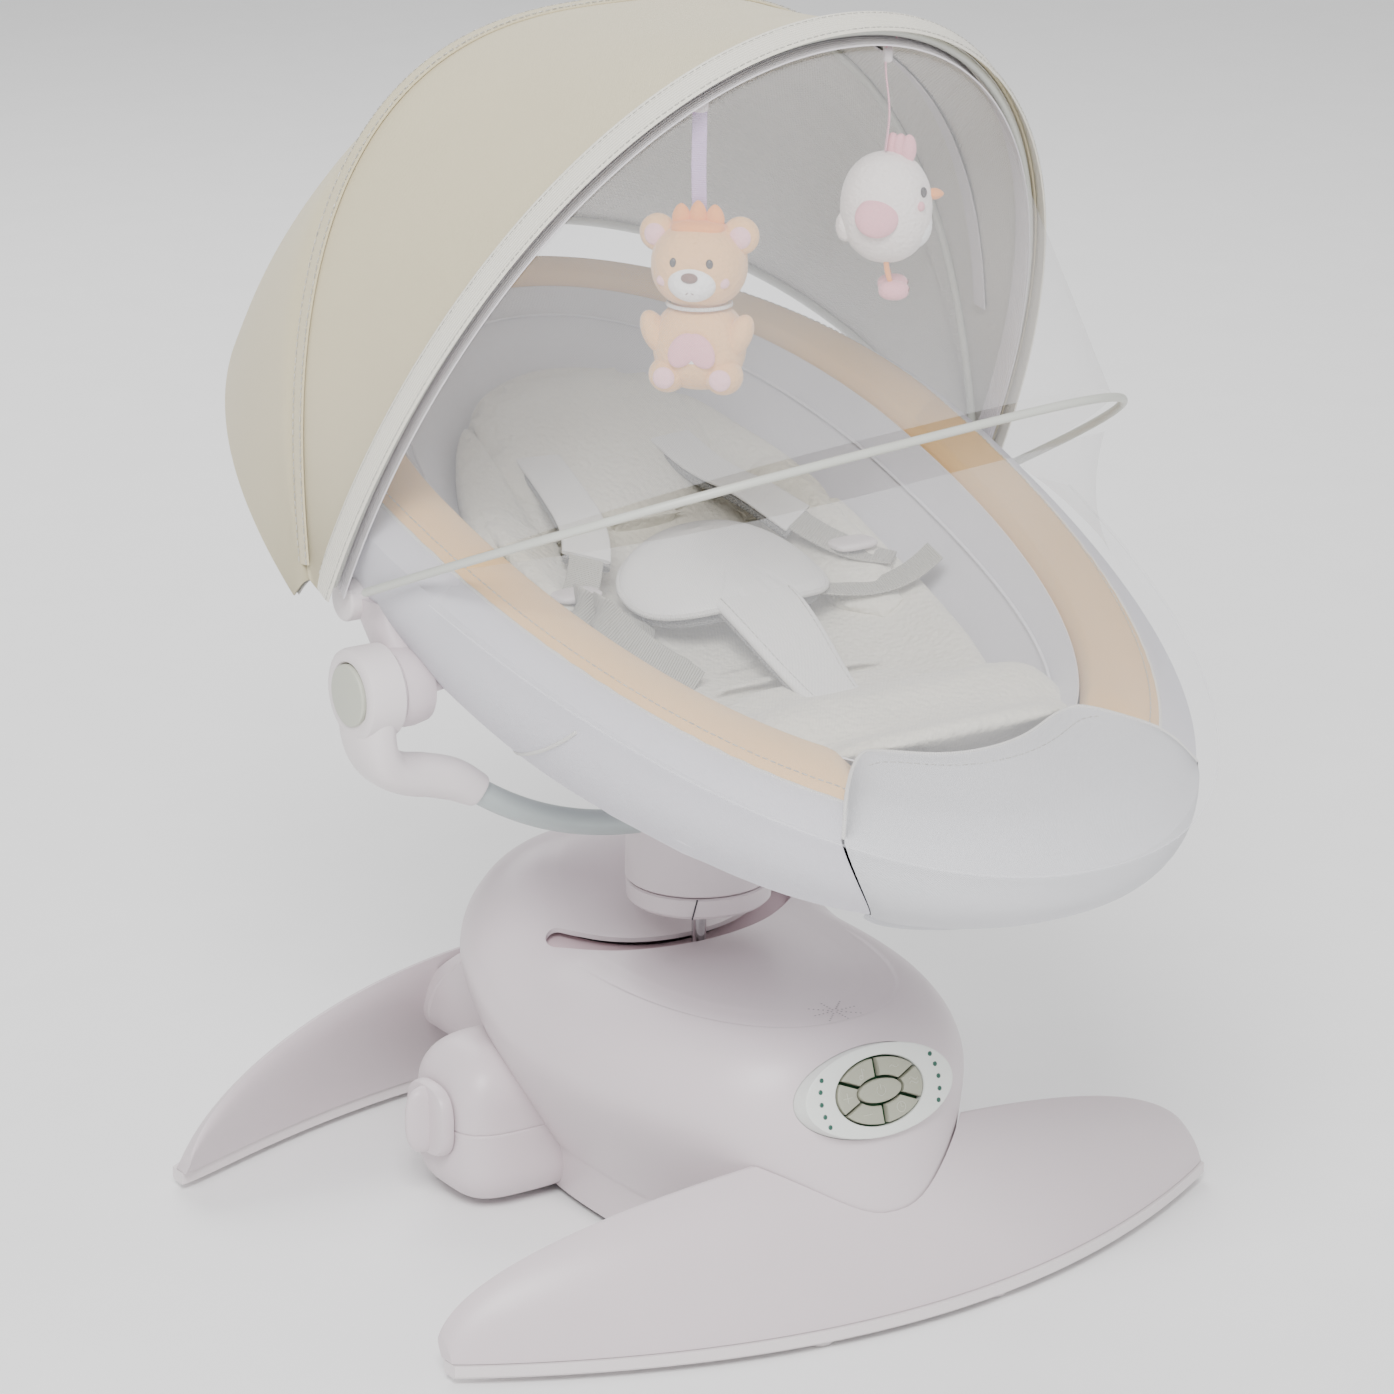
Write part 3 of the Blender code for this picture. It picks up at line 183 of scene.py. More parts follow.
class Recipe:
    """One material under construction."""

    def __init__(self, name: str) -> None:
        """Start a material with its Principled shader."""
        self.material = bpy.data.materials.new(name)
        self.material.use_nodes = True
        self.tree = self.material.node_tree
        self.shader = self.tree.nodes["Principled BSDF"]

    def node(self, kind: str, settings: dict | None = None, inputs: dict | None = None,
             output: int | str = 0) -> Signal:
        """Add a node.

        Args:
            kind: the node's type name.
            settings: properties set first; "stops" fills a colour ramp with (place, colour) pairs.
            inputs: values or signals by socket name or number.
            output: the output socket to return.

        Returns:
            The chosen output.
        """
        made = self.tree.nodes.new(kind)
        for key, value in (settings or {}).items():
            if key == "stops":
                ramp = made.color_ramp
                for stop, (place, colour) in zip(ramp.elements, value):
                    stop.position = place
                    stop.color = (*colour, 1.0)
            else:
                setattr(made, key, value)
        for key, value in (inputs or {}).items():
            if isinstance(value, Signal):
                self.tree.links.new(value.socket, made.inputs[key])
            else:
                made.inputs[key].default_value = value
        return Signal(self, made.outputs[output])

    def coordinates(self, space: str) -> Signal:
        """Texture coordinates: "Object" or "UV"."""
        return self.node("ShaderNodeTexCoord", output=space)

    def split(self, vector: Signal) -> tuple[Signal, Signal, Signal]:
        """The three parts of a vector."""
        parts = self.node("ShaderNodeSeparateXYZ", {}, {0: vector})
        outputs = parts.socket.node.outputs
        return parts, Signal(self, outputs[1]), Signal(self, outputs[2])

    def noise(self, vector: Signal, scale: float, detail: float = 3.0) -> Signal:
        """Soft noise from 0 to 1."""
        return self.node("ShaderNodeTexNoise", {}, {"Vector": vector, "Scale": scale, "Detail": detail})

    def blend(self, share: Signal, low: Colour, high: Colour) -> Signal:
        """Colour between two colours by a share."""
        return self.node("ShaderNodeValToRGB", {"stops": ((0.0, low), (1.0, high))}, {0: share})

    def bump(self, height: Signal, distance: float, strength: float = 1.0) -> None:
        """Feed a height to the shader's normal."""
        normal = self.node("ShaderNodeBump", {}, {"Height": height, "Distance": distance,
                                                  "Strength": strength})
        self.feed({"Normal": normal})

    def feed(self, values: dict) -> None:
        """Set or link the shader's sockets."""
        for key, value in values.items():
            if isinstance(value, Signal):
                self.tree.links.new(value.socket, self.shader.inputs[key])
            else:
                self.shader.inputs[key].default_value = value


def shade(colour: Colour, factor: float) -> Colour:
    """Colour made darker or lighter."""
    return tuple(min(channel * factor, 1.0) for channel in colour)


@dataclass(frozen=True)
class Moulded:
    """Moulded plastic with a spark-eroded grain and faint unevenness."""
    name: str
    colour: Colour
    roughness: float = 0.38
    grain: float = 1.0

    def make(self) -> bpy.types.Material:
        """Build the material."""
        recipe = Recipe(self.name)
        place = recipe.coordinates("Object")
        cloud = recipe.noise(place, 14.0)
        fine = recipe.noise(place, 1500.0, 2.0)
        recipe.feed({"Base Color": recipe.blend(cloud, shade(self.colour, 0.955), self.colour),
                     "Roughness": cloud * 0.10 + fine * 0.05 + (self.roughness - 0.07),
                     "IOR": 1.49})
        recipe.bump(fine * self.grain + recipe.noise(place, 9.0) * 0.8, 0.00006)
        return recipe.material


@dataclass(frozen=True)
class Metal:
    """Painted or bare metal with fine brush marks."""
    name: str
    colour: Colour
    metallic: float = 1.0
    roughness: float = 0.25

    def make(self) -> bpy.types.Material:
        """Build the material."""
        recipe = Recipe(self.name)
        place = recipe.coordinates("Object")
        stretched = recipe.node("ShaderNodeMapping", {}, {0: place, "Scale": (1.0, 1.0, 0.08)})
        brush = recipe.noise(stretched, 900.0)
        cloud = recipe.noise(place, 30.0)
        recipe.feed({"Base Color": recipe.blend(cloud, shade(self.colour, 0.9), self.colour),
                     "Roughness": brush * 0.12 + (self.roughness - 0.05),
                     "Metallic": self.metallic})
        recipe.bump(brush, 0.00003)
        return recipe.material


class Weave(Enum):
    """How a cloth's threads cross."""
    PLAIN = "plain"
    TWILL = "twill"
    RIBBED = "ribbed"
    KNIT = "knit"


@dataclass(frozen=True)
class Cloth:
    """Woven or knitted cloth, drawn on the piece's own UV map in metres."""
    name: str
    colour: Colour
    pitch: float = 0.0011
    weave: Weave = Weave.PLAIN
    depth: float = 0.00018
    roughness: float = 0.85
    sheen: float = 0.25

    def threads(self, across: Signal, along: Signal) -> Signal:
        """Height of the threads from -1 to 1."""
        rate = 2 * math.pi / self.pitch
        if self.weave is Weave.TWILL:
            return ((across + along) * rate).sine()
        if self.weave is Weave.RIBBED:
            return (along * rate).sine() + (across * (rate * 1.7)).sine() * 0.3
        if self.weave is Weave.KNIT:
            return (across * rate).sine().size() * (along * rate + (across * rate).sine()).sine()
        return (across * rate).sine() * (along * rate).sine()

    def make(self) -> bpy.types.Material:
        """Build the material."""
        recipe = Recipe(self.name)
        across, along, _ = recipe.split(recipe.coordinates("UV"))
        place = recipe.coordinates("Object")
        height = self.threads(across, along)
        cloud = recipe.noise(place, 16.0, 4.0)
        fibre = recipe.noise(place, 700.0, 2.0)
        # The thread height darkens the colour in the dips of the weave: painted shade. Cloud and fibre are
        # the cloth's own uneven colour.
        tone_and_painted_shade = cloud * 0.6 + height * 0.10 + fibre * 0.25
        recipe.feed({"Base Color": recipe.blend(tone_and_painted_shade, shade(self.colour, 0.90), shade(self.colour, 1.03)),
                     "Roughness": fibre * 0.12 + (self.roughness - 0.06), "Sheen Weight": self.sheen,
                     "Sheen Roughness": 0.5})
        recipe.bump(height + fibre * 0.7 + recipe.noise(place, 60.0) * 2.0, self.depth)
        return recipe.material


@dataclass(frozen=True)
class Plush:
    """Short pile that lies in small clumps."""
    name: str
    colour: Colour
    clump: float = 260.0
    depth: float = 0.0011

    def make(self) -> bpy.types.Material:
        """Build the material."""
        recipe = Recipe(self.name)
        place = recipe.coordinates("Object")
        clumps = recipe.node("ShaderNodeTexVoronoi", {"feature": "SMOOTH_F1"},
                             {"Vector": place, "Scale": self.clump, "Smoothness": 0.6})
        fibre = recipe.noise(place, 1300.0, 3.0)
        cloud = recipe.noise(place, 22.0, 4.0)
        # Darker between the clumps, where the bump sinks: painted shade in the gaps of the pile. Cloud and
        # fibre are the pile's own uneven colour.
        tone_and_painted_shade = cloud * 0.55 + fibre * 0.45 - clumps * 0.25 + 0.1
        recipe.feed({"Base Color": recipe.blend(tone_and_painted_shade, shade(self.colour, 0.88), shade(self.colour, 1.03)),
                     "Roughness": fibre * 0.1 + 0.88, "Sheen Weight": 0.5, "Sheen Roughness": 0.4})
        recipe.bump(fibre * 0.6 - clumps, self.depth)
        return recipe.material


@dataclass(frozen=True)
class OpenNet:
    """Fine open net: threads round small holes on the piece's UV map."""
    name: str
    colour: Colour
    pitch: float = 0.0016
    cover: float = 0.19

    def make(self) -> bpy.types.Material:
        """Build the material."""
        recipe = Recipe(self.name)
        across, along, _ = recipe.split(recipe.coordinates("UV"))
        rate = 2 * math.pi / self.pitch
        first = ((across + along * 0.6) * rate).sine().size()
        second = ((across - along * 0.6) * rate).sine().size()
        hole = first * second
        cloud = recipe.noise(recipe.coordinates("Object"), 12.0)
        alpha = (1.0 - hole) ** 2.0 * self.cover + cloud * 0.08 + self.cover * 0.25
        recipe.feed({"Base Color": recipe.blend(cloud, shade(self.colour, 0.96), self.colour),
                     "Roughness": cloud * 0.1 + 0.7, "Alpha": alpha})
        recipe.bump(hole, 0.0001)
        return recipe.material


class Finish:
    """The swing's finishes, each made once."""
    SHELL = Moulded("satin shell plastic", linear(214, 202, 206))
    HEAD = Moulded("brighter moulded plastic", linear(226, 218, 219), 0.34)
    TRAY = Moulded("pinkish slot tray", linear(224, 200, 206), 0.6)
    BEZEL = Moulded("panel bezel plastic", linear(226, 229, 224), 0.42)
    BUTTON = Moulded("olive button rubber", linear(163, 164, 147), 0.55, 2.0)
    ICON = Moulded("raised button symbol", linear(188, 189, 175), 0.5)
    # Dark plastic of the speaker, the power inlet and the cutting tools. On the rim notches and the skirt
    # notch it is painted shade for the shadow in the gap.
    DARK_AND_NOTCH_SHADE = Moulded("dark parts and painted notch shade", linear(62, 60, 64), 0.6)
    # Grey of the speaker-hole discs: painted shade for the shadow seen in each hole.
    HOLE_SHADE = Moulded("speaker hole", linear(150, 142, 146), 0.7)
    LAMP = Moulded("green indicator lamp", linear(44, 88, 74), 0.15, 0.2)
    RUBBER = Moulded("foot rubber", linear(222, 216, 216), 0.8, 3.0)
    BOARD = Moulded("circuit board", linear(30, 96, 54), 0.5)
    DISC = Moulded("sage button disc", linear(190, 192, 178), 0.45)
    TUBE = Metal("sage grey tube paint", linear(183, 193, 192), 0.15, 0.38)
    BOW = Metal("pale bow coating", linear(206, 208, 200), 0.05, 0.45)
    STEEL = Metal("bright steel", linear(200, 200, 202), 1.0, 0.22)
    COPPER = Metal("wound copper", linear(184, 115, 76), 0.9, 0.35)
    OUTER = Cloth("outer seat cloth", linear(222, 220, 228), 0.0009, Weave.PLAIN, 0.00009, 0.8)
    APRON = Cloth("foot apron cloth", linear(224, 224, 228), 0.0012, Weave.TWILL, 0.00012, 0.8)
    PEACH = Cloth("warm rim cloth", linear(250, 206, 146), 0.0010, Weave.PLAIN, 0.00010, 0.8)
    WALL = Cloth("lavender grey wall cloth", linear(232, 230, 236), 0.0010, Weave.PLAIN, 0.00010, 0.85)
    CREAM = Cloth("cream binding tape", linear(243, 239, 225), 0.0016, Weave.RIBBED, 0.00022, 0.7)
    PIPING = Cloth("pale piping", linear(236, 234, 230), 0.0014, Weave.RIBBED, 0.00022, 0.7)
    CANOPY = Cloth("khaki canopy cloth", linear(214, 203, 170), 0.0010, Weave.PLAIN, 0.00010, 0.85)
    LINING = Cloth("grey mesh lining", linear(222, 219, 212), 0.0022, Weave.KNIT, 0.00035, 0.9)
    BAND = Cloth("lavender edge band", linear(222, 217, 222), 0.0016, Weave.RIBBED, 0.0002, 0.7)
    SPACER = Cloth("spacer mesh", linear(150, 149, 146), 0.0024, Weave.KNIT, 0.0006, 0.9)
    WEBBING = Cloth("satin webbing", linear(182, 180, 170), 0.0016, Weave.RIBBED, 0.00022, 0.38, 0.1)
    PAD = Cloth("white pad cloth", linear(240, 239, 237), 0.0011, Weave.PLAIN, 0.00010, 0.75)
    THREAD = Cloth("stitching thread", linear(246, 243, 234), 0.0005, Weave.TWILL, 0.0001, 0.6)
    FLEECE = Plush("cream fleece", linear(236, 232, 219))
    BEAR = Plush("bear plush", linear(248, 196, 136), 420.0, 0.0007)
    MUZZLE = Plush("white muzzle plush", linear(252, 252, 252), 420.0, 0.0006)
    PINK = Plush("pink plush", linear(248, 196, 204), 420.0, 0.0006)
    CHICK = Plush("chick plush", linear(244, 236, 232), 420.0, 0.0006)
    FELT = Plush("orange felt", linear(250, 162, 84), 700.0, 0.0003)
    ROSE = Plush("rose felt", linear(240, 172, 182), 700.0, 0.0003)
    NOSE = Plush("brown embroidery", linear(128, 92, 80), 900.0, 0.0002)
    EYE = Moulded("toy eye", linear(52, 46, 44), 0.25)
    LILAC = Cloth("lilac ribbon", linear(196, 168, 212), 0.0012, Weave.RIBBED, 0.0001, 0.5)
    ROSE_RIBBON = Cloth("rose ribbon", linear(238, 172, 188), 0.0012, Weave.RIBBED, 0.0001, 0.5)
    NET = OpenNet("white insect net", linear(246, 246, 250))
    _made: dict = {}

    @classmethod
    def of(cls, finish: object) -> bpy.types.Material:
        """The material of a finish, made at its first use."""
        if finish.name not in cls._made:
            cls._made[finish.name] = finish.make()
        return cls._made[finish.name]


# ---- mesh making ------------------------------------------------------------------------------------
def grid_faces(rows: int, columns: int, copies: int = 1) -> Array:
    """Corner numbers of a grid's four-sided faces, for one grid or for several one after another."""
    cell = np.arange(rows * columns).reshape(rows, columns)
    faces = np.stack((cell[:-1, :-1], cell[:-1, 1:], cell[1:, 1:], cell[1:, :-1]), -1).reshape(-1, 4)
    return (faces[None] + (np.arange(copies) * rows * columns)[:, None, None]).reshape(-1, 4)


def grid_uv(points: Array) -> Array:
    """Arc lengths across and along a grid in metres, measured from its middle column."""
    across = np.linalg.norm(np.diff(points, axis=1), axis=2)
    across = np.concatenate((np.zeros((len(points), 1)), np.cumsum(across, axis=1)), axis=1)
    across -= across[:, points.shape[1] // 2][:, None]
    along = np.linalg.norm(np.diff(points, axis=0), axis=2).mean(axis=1)
    along = np.concatenate(([0.0], np.cumsum(along)))
    return np.stack((across, np.broadcast_to(along[:, None], across.shape)), axis=-1)


def surface(name: str, grid: Array, finish: object, body: str, *, closed: bool = False,
            wall: float = 0.0, side: float = 0.0, sharp: float = 35.0) -> bpy.types.Object:
    """Make a piece from a grid of points.

    Args:
        name: the piece's name.
        grid: points of shape (rows, columns, 3), relative to the post.
        finish: the finish it is dressed in.
        body: the frame's body it rides on, or "" for a sheet that is left on no body.
        closed: whether its open ends are filled.
        wall: thickness given to an open sheet.
        side: which side of the grid the thickness lies on, from -1 to 1.
        sharp: angle above which an edge is shown sharp.

    Returns:
        The finished object.
    """
    quads = grid_faces(*grid.shape[:2])
    mesh = bpy.data.meshes.new(name)
    mesh.from_pydata((grid.reshape(-1, 3) + POST_PLACE).tolist(), [], quads.tolist())
    layer = mesh.uv_layers.new(name="cloth")
    layer.data.foreach_set("uv", grid_uv(grid).reshape(-1, 2)[quads.ravel()].astype(np.float32).ravel())
    work = bmesh.new()
    work.from_mesh(mesh)
    bmesh.ops.remove_doubles(work, verts=work.verts, dist=0.000004)
    if closed:
        bmesh.ops.holes_fill(work, edges=[edge for edge in work.edges if edge.is_boundary])
    if closed or side < 0:
        bmesh.ops.recalc_face_normals(work, faces=work.faces)
    work.to_mesh(mesh)
    work.free()
    piece = bpy.data.objects.new(name, mesh)
    bpy.context.scene.collection.objects.link(piece)
    if wall:
        shell = piece.modifiers.new("wall", "SOLIDIFY")
        shell.thickness = wall
        shell.offset = side
        bake(piece)
    return dress(piece, finish, body, sharp)


def bake(piece: bpy.types.Object) -> None:
    """Turn a piece's modifiers into its mesh."""
    graph = bpy.context.evaluated_depsgraph_get()
    mesh = bpy.data.meshes.new_from_object(piece.evaluated_get(graph))
    piece.modifiers.clear()
    piece.data = mesh
    mesh.name = piece.name


def dress(piece: bpy.types.Object, finish: object, body: str, sharp: float = 35.0) -> bpy.types.Object:
    """Give a piece its finish, its shading and the body it rides on."""
    piece.data.materials.clear()
    piece.data.materials.append(Finish.of(finish))
    piece.data.shade_smooth()
    piece.data.set_sharp_from_angle(angle=math.radians(sharp))
    if body:
        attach(piece, body)
    return piece


def carve(piece: bpy.types.Object, cutters: Sequence[bpy.types.Object]) -> None:
    """Cut a piece with closed tools, which are then removed."""
    body_face = piece.data.materials[0]
    for cutter in cutters:
        change = piece.modifiers.new("cut", "BOOLEAN")
        change.object = cutter
        change.solver = "EXACT"
    bake(piece)
    for cutter in cutters:
        bpy.data.objects.remove(cutter)
    piece.data.materials.clear()
    piece.data.materials.append(body_face)
    piece.data.set_sharp_from_angle(angle=math.radians(30))


def circle(count: int) -> tuple[Array, Array]:
    """Cosine and sine round a full turn, the first repeated at the end."""
    angle = np.linspace(0, 2 * math.pi, count + 1)
    return np.cos(angle), np.sin(angle)


def sweep(path: Array, profile: Array, reference: Sequence[float] = (0, 0, 1),
          loop: bool = False) -> Array:
    """Carry a profile along a path.

    The profile's first number goes along tangent x reference and its second along the direction
    square to both.

    Args:
        path: points of shape (n, 3).
        profile: points of shape (m, 2), or (n, m, 2) where it changes along the path.
        reference: direction that is never along the path.
        loop: whether the path's last point repeats its first.

    Returns:
        A grid of shape (n, m, 3).
    """
    tangent = np.gradient(path, axis=0)
    if loop:
        tangent[0] = tangent[-1] = path[1] - path[-2]
    tangent /= np.linalg.norm(tangent, axis=1, keepdims=True)
    across = np.cross(tangent, np.asarray(reference, float))
    across /= np.linalg.norm(across, axis=1, keepdims=True)
    square = np.cross(across, tangent)
    outline = profile if profile.ndim == 3 else profile[None]
    return path[:, None] + across[:, None] * outline[..., :1] + square[:, None] * outline[..., 1:]


def rod(path: Array, radius: float, sides: int = 16, **options: object) -> Array:
    """Round tube along a path, with domed ends unless it is a loop."""
    c, s = circle(sides)
    if options.get("loop"):
        return sweep(path, radius * np.stack((c, s), -1), **options)
    start, end = path[0] - path[1], path[-1] - path[-2]
    start, end = start / np.linalg.norm(start), end / np.linalg.norm(end)
    lean = np.array([0.0, 0.45, 0.8, 1.0])
    dome = np.sqrt(1 - lean ** 2)
    first = path[0] + start * (radius * lean[::-1, None])
    last = path[-1] + end * (radius * lean[:, None])
    whole = np.concatenate((first[:-1], path, last[1:]))
    size = np.concatenate((dome[::-1][:-1], np.ones(len(path)), dome[1:])) * radius
    size = np.maximum(size, radius * 0.02)
    return sweep(whole, size[:, None, None] * np.stack((c, s), -1)[None], **options)


def strip(path: Array, width: float, thick: float, reference: Sequence[float] = (1, 0, 0),
          sides: int = 24) -> Array:
    """Flat band with rounded edges along a path; its width lies along the reference."""
    c, s = circle(sides)
    profile = np.stack((thick / 2 * spow(s, 0.6), width / 2 * spow(c, 0.35)), -1)
    return sweep(path, profile, reference)


def lathe(profile: Sequence, start: Sequence[float], axis: Sequence[float], sides: int = 72) -> Array:
    """Turn a profile of (radius, distance along the axis) round an axis that starts at a point."""
    axis = np.asarray(axis, float)
    first = np.cross(axis, (0.0, 1.0, 0.0) if abs(axis[1]) < 0.9 else (1.0, 0.0, 0.0))
    first /= np.linalg.norm(first)
    second = np.cross(axis, first)
    c, s = circle(sides)
    radius, along = np.asarray(profile, float).T
    ring = first * c[:, None] + second * s[:, None]
    return (np.asarray(start, float) + axis * along[:, None])[:, None] + ring[None] * radius[:, None, None]


def rounded_lathe(radius: float, low: float, high: float, edge: float, steps: int = 5) -> list:
    """Profile of a disc with rounded rims, from its lower middle to its upper middle."""
    turn = np.linspace(0, math.pi / 2, steps)
    lower = [(radius - edge + edge * math.sin(t), low + edge - edge * math.cos(t)) for t in turn]
    upper = [(radius - edge + edge * math.cos(t), high - edge + edge * math.sin(t)) for t in turn]
    return [(0.0001, low)] + lower + upper + [(0.0001, high)]


def ellipsoid(radii: Sequence[float], exponent: float = 2.0, count: int = 48) -> Array:
    """Ellipsoid, or a squarer one for an exponent above 2, about the origin with its poles on Z."""
    power = 2 / exponent
    c, s = circle(count)
    rise = np.linspace(-math.pi / 2, math.pi / 2, count // 2 + 1)[:, None]
    wide = spow(np.cos(rise), power)
    return points_of(radii[0] * wide * spow(c, power), radii[1] * wide * spow(s, power),
                     radii[2] * spow(np.sin(rise), power))


def outline_pad(outline: Array, thick: float, edge: float = 0.35, rows: int = 14) -> Array:
    """Closed pad over a flat outline.

    Each row is the outline shrunk to a share k of its size, at height +-thick/2 * (1 - k^n)^edge,
    so the pad is crowned in its middle and thin at its border.

    Args:
        outline: points of shape (m, 2), the first repeated at the end.
        thick: thickness in the middle.
        edge: how slowly the thickness grows from the border.
        rows: rows on each side.

    Returns:
        A grid in the X-Y plane with its thickness along Z.
    """
    share = np.sin(np.linspace(0.02, 1, rows) * math.pi / 2)
    height = thick / 2 * (1 - np.minimum(share, 1.0) ** 4) ** edge
    share = np.concatenate((share, share[::-1][1:]))
    height = np.concatenate((-height, height[::-1][1:]))
    return points_of(outline[None, :, 0] * share[:, None], outline[None, :, 1] * share[:, None],
                     height[:, None])


def stitches(name: str, path: Array, lift: Array, body: str, pitch: float = 0.004,
             radius: float = 0.00035) -> bpy.types.Object:
    """Row of short raised stitches along a path.

    Args:
        name: the piece's name.
        path: points that the seam follows.
        lift: direction in which the stitches stand proud.
        body: the body they ride on.
        pitch: distance from one stitch to the next.
        radius: the thread's radius.

    Returns:
        One object that holds all the stitches.
    """
    step = np.linalg.norm(np.diff(path, axis=0), axis=1)
    along = np.concatenate(([0.0], np.cumsum(step)))
    count = max(int(along[-1] / pitch), 2)
    places = (np.arange(count) + 0.5) * along[-1] / count
    offsets = np.array([-0.38, -0.3, 0.0, 0.3, 0.38]) * pitch
    size = np.array([0.1, 1.0, 1.0, 1.0, 0.1])
    at = places[:, None] + offsets
    line = np.stack([np.interp(at, along, path[:, k]) for k in range(3)], -1)
    tangent = line[:, -1] - line[:, 0]
    tangent /= np.linalg.norm(tangent, axis=1, keepdims=True)
    up = np.broadcast_to(np.asarray(lift, float), tangent.shape)
    side = np.cross(tangent, up)
    side /= np.linalg.norm(side, axis=1, keepdims=True)
    up = np.cross(side, tangent)
    c, s = circle(6)
    ring = (side[:, None, None] * c[:, None] + up[:, None, None] * s[:, None]) * radius
    grid = line[:, :, None] + ring * size[None, :, None, None]
    quads = grid_faces(*grid.shape[1:3], copies=count)
    mesh = bpy.data.meshes.new(name)
    mesh.from_pydata((grid.reshape(-1, 3) + POST_PLACE).tolist(), [], quads.tolist())
    work = bmesh.new()
    work.from_mesh(mesh)
    bmesh.ops.remove_doubles(work, verts=work.verts, dist=0.000004)
    bmesh.ops.holes_fill(work, edges=[edge for edge in work.edges if edge.is_boundary])
    bmesh.ops.recalc_face_normals(work, faces=work.faces)
    work.to_mesh(mesh)
    work.free()
    mesh.uv_layers.new(name="cloth")
    piece = bpy.data.objects.new(name, mesh)
    bpy.context.scene.collection.objects.link(piece)
    return dress(piece, Finish.THREAD, body, 80)


def puff(piece: bpy.types.Object, voxel: float, cap: float, pressure: float = 4.0) -> None:
    """Swell a closed pad by cloth simulation and keep the result.

    Args:
        piece: the pad, slightly smaller than it is to be.
        voxel: size of the remeshed cells.
        cap: furthest that a point may move.
        pressure: air pressure inside.
    """
    remesh = piece.modifiers.new("cells", "REMESH")
    remesh.mode = "VOXEL"
    remesh.voxel_size = voxel
    bake(piece)
    count = len(piece.data.vertices)
    start = np.empty(count * 3, np.float32)
    piece.data.vertices.foreach_get("co", start)
    cloth = piece.modifiers.new("swell", "CLOTH")
    cloth.settings.use_pressure = True
    cloth.settings.uniform_pressure_force = pressure
    cloth.settings.effector_weights.gravity = 0.0
    scene = bpy.context.scene
    for step in range(1, 21):
        scene.frame_set(step)
    graph = bpy.context.evaluated_depsgraph_get()
    moved = np.empty(count * 3, np.float32)
    piece.evaluated_get(graph).data.vertices.foreach_get("co", moved)
    piece.modifiers.clear()
    scene.frame_set(1)
    start, moved = start.reshape(-1, 3), moved.reshape(-1, 3)
    shift = moved - start
    length = np.linalg.norm(shift, axis=1, keepdims=True)
    shift *= np.minimum(1.0, cap / np.maximum(length, 1e-9))
    piece.data.vertices.foreach_set("co", (start + shift).ravel())
    smooth = piece.modifiers.new("smooth", "SUBSURF")
    smooth.levels = smooth.render_levels = 1
    bake(piece)
    piece.data.shade_smooth()


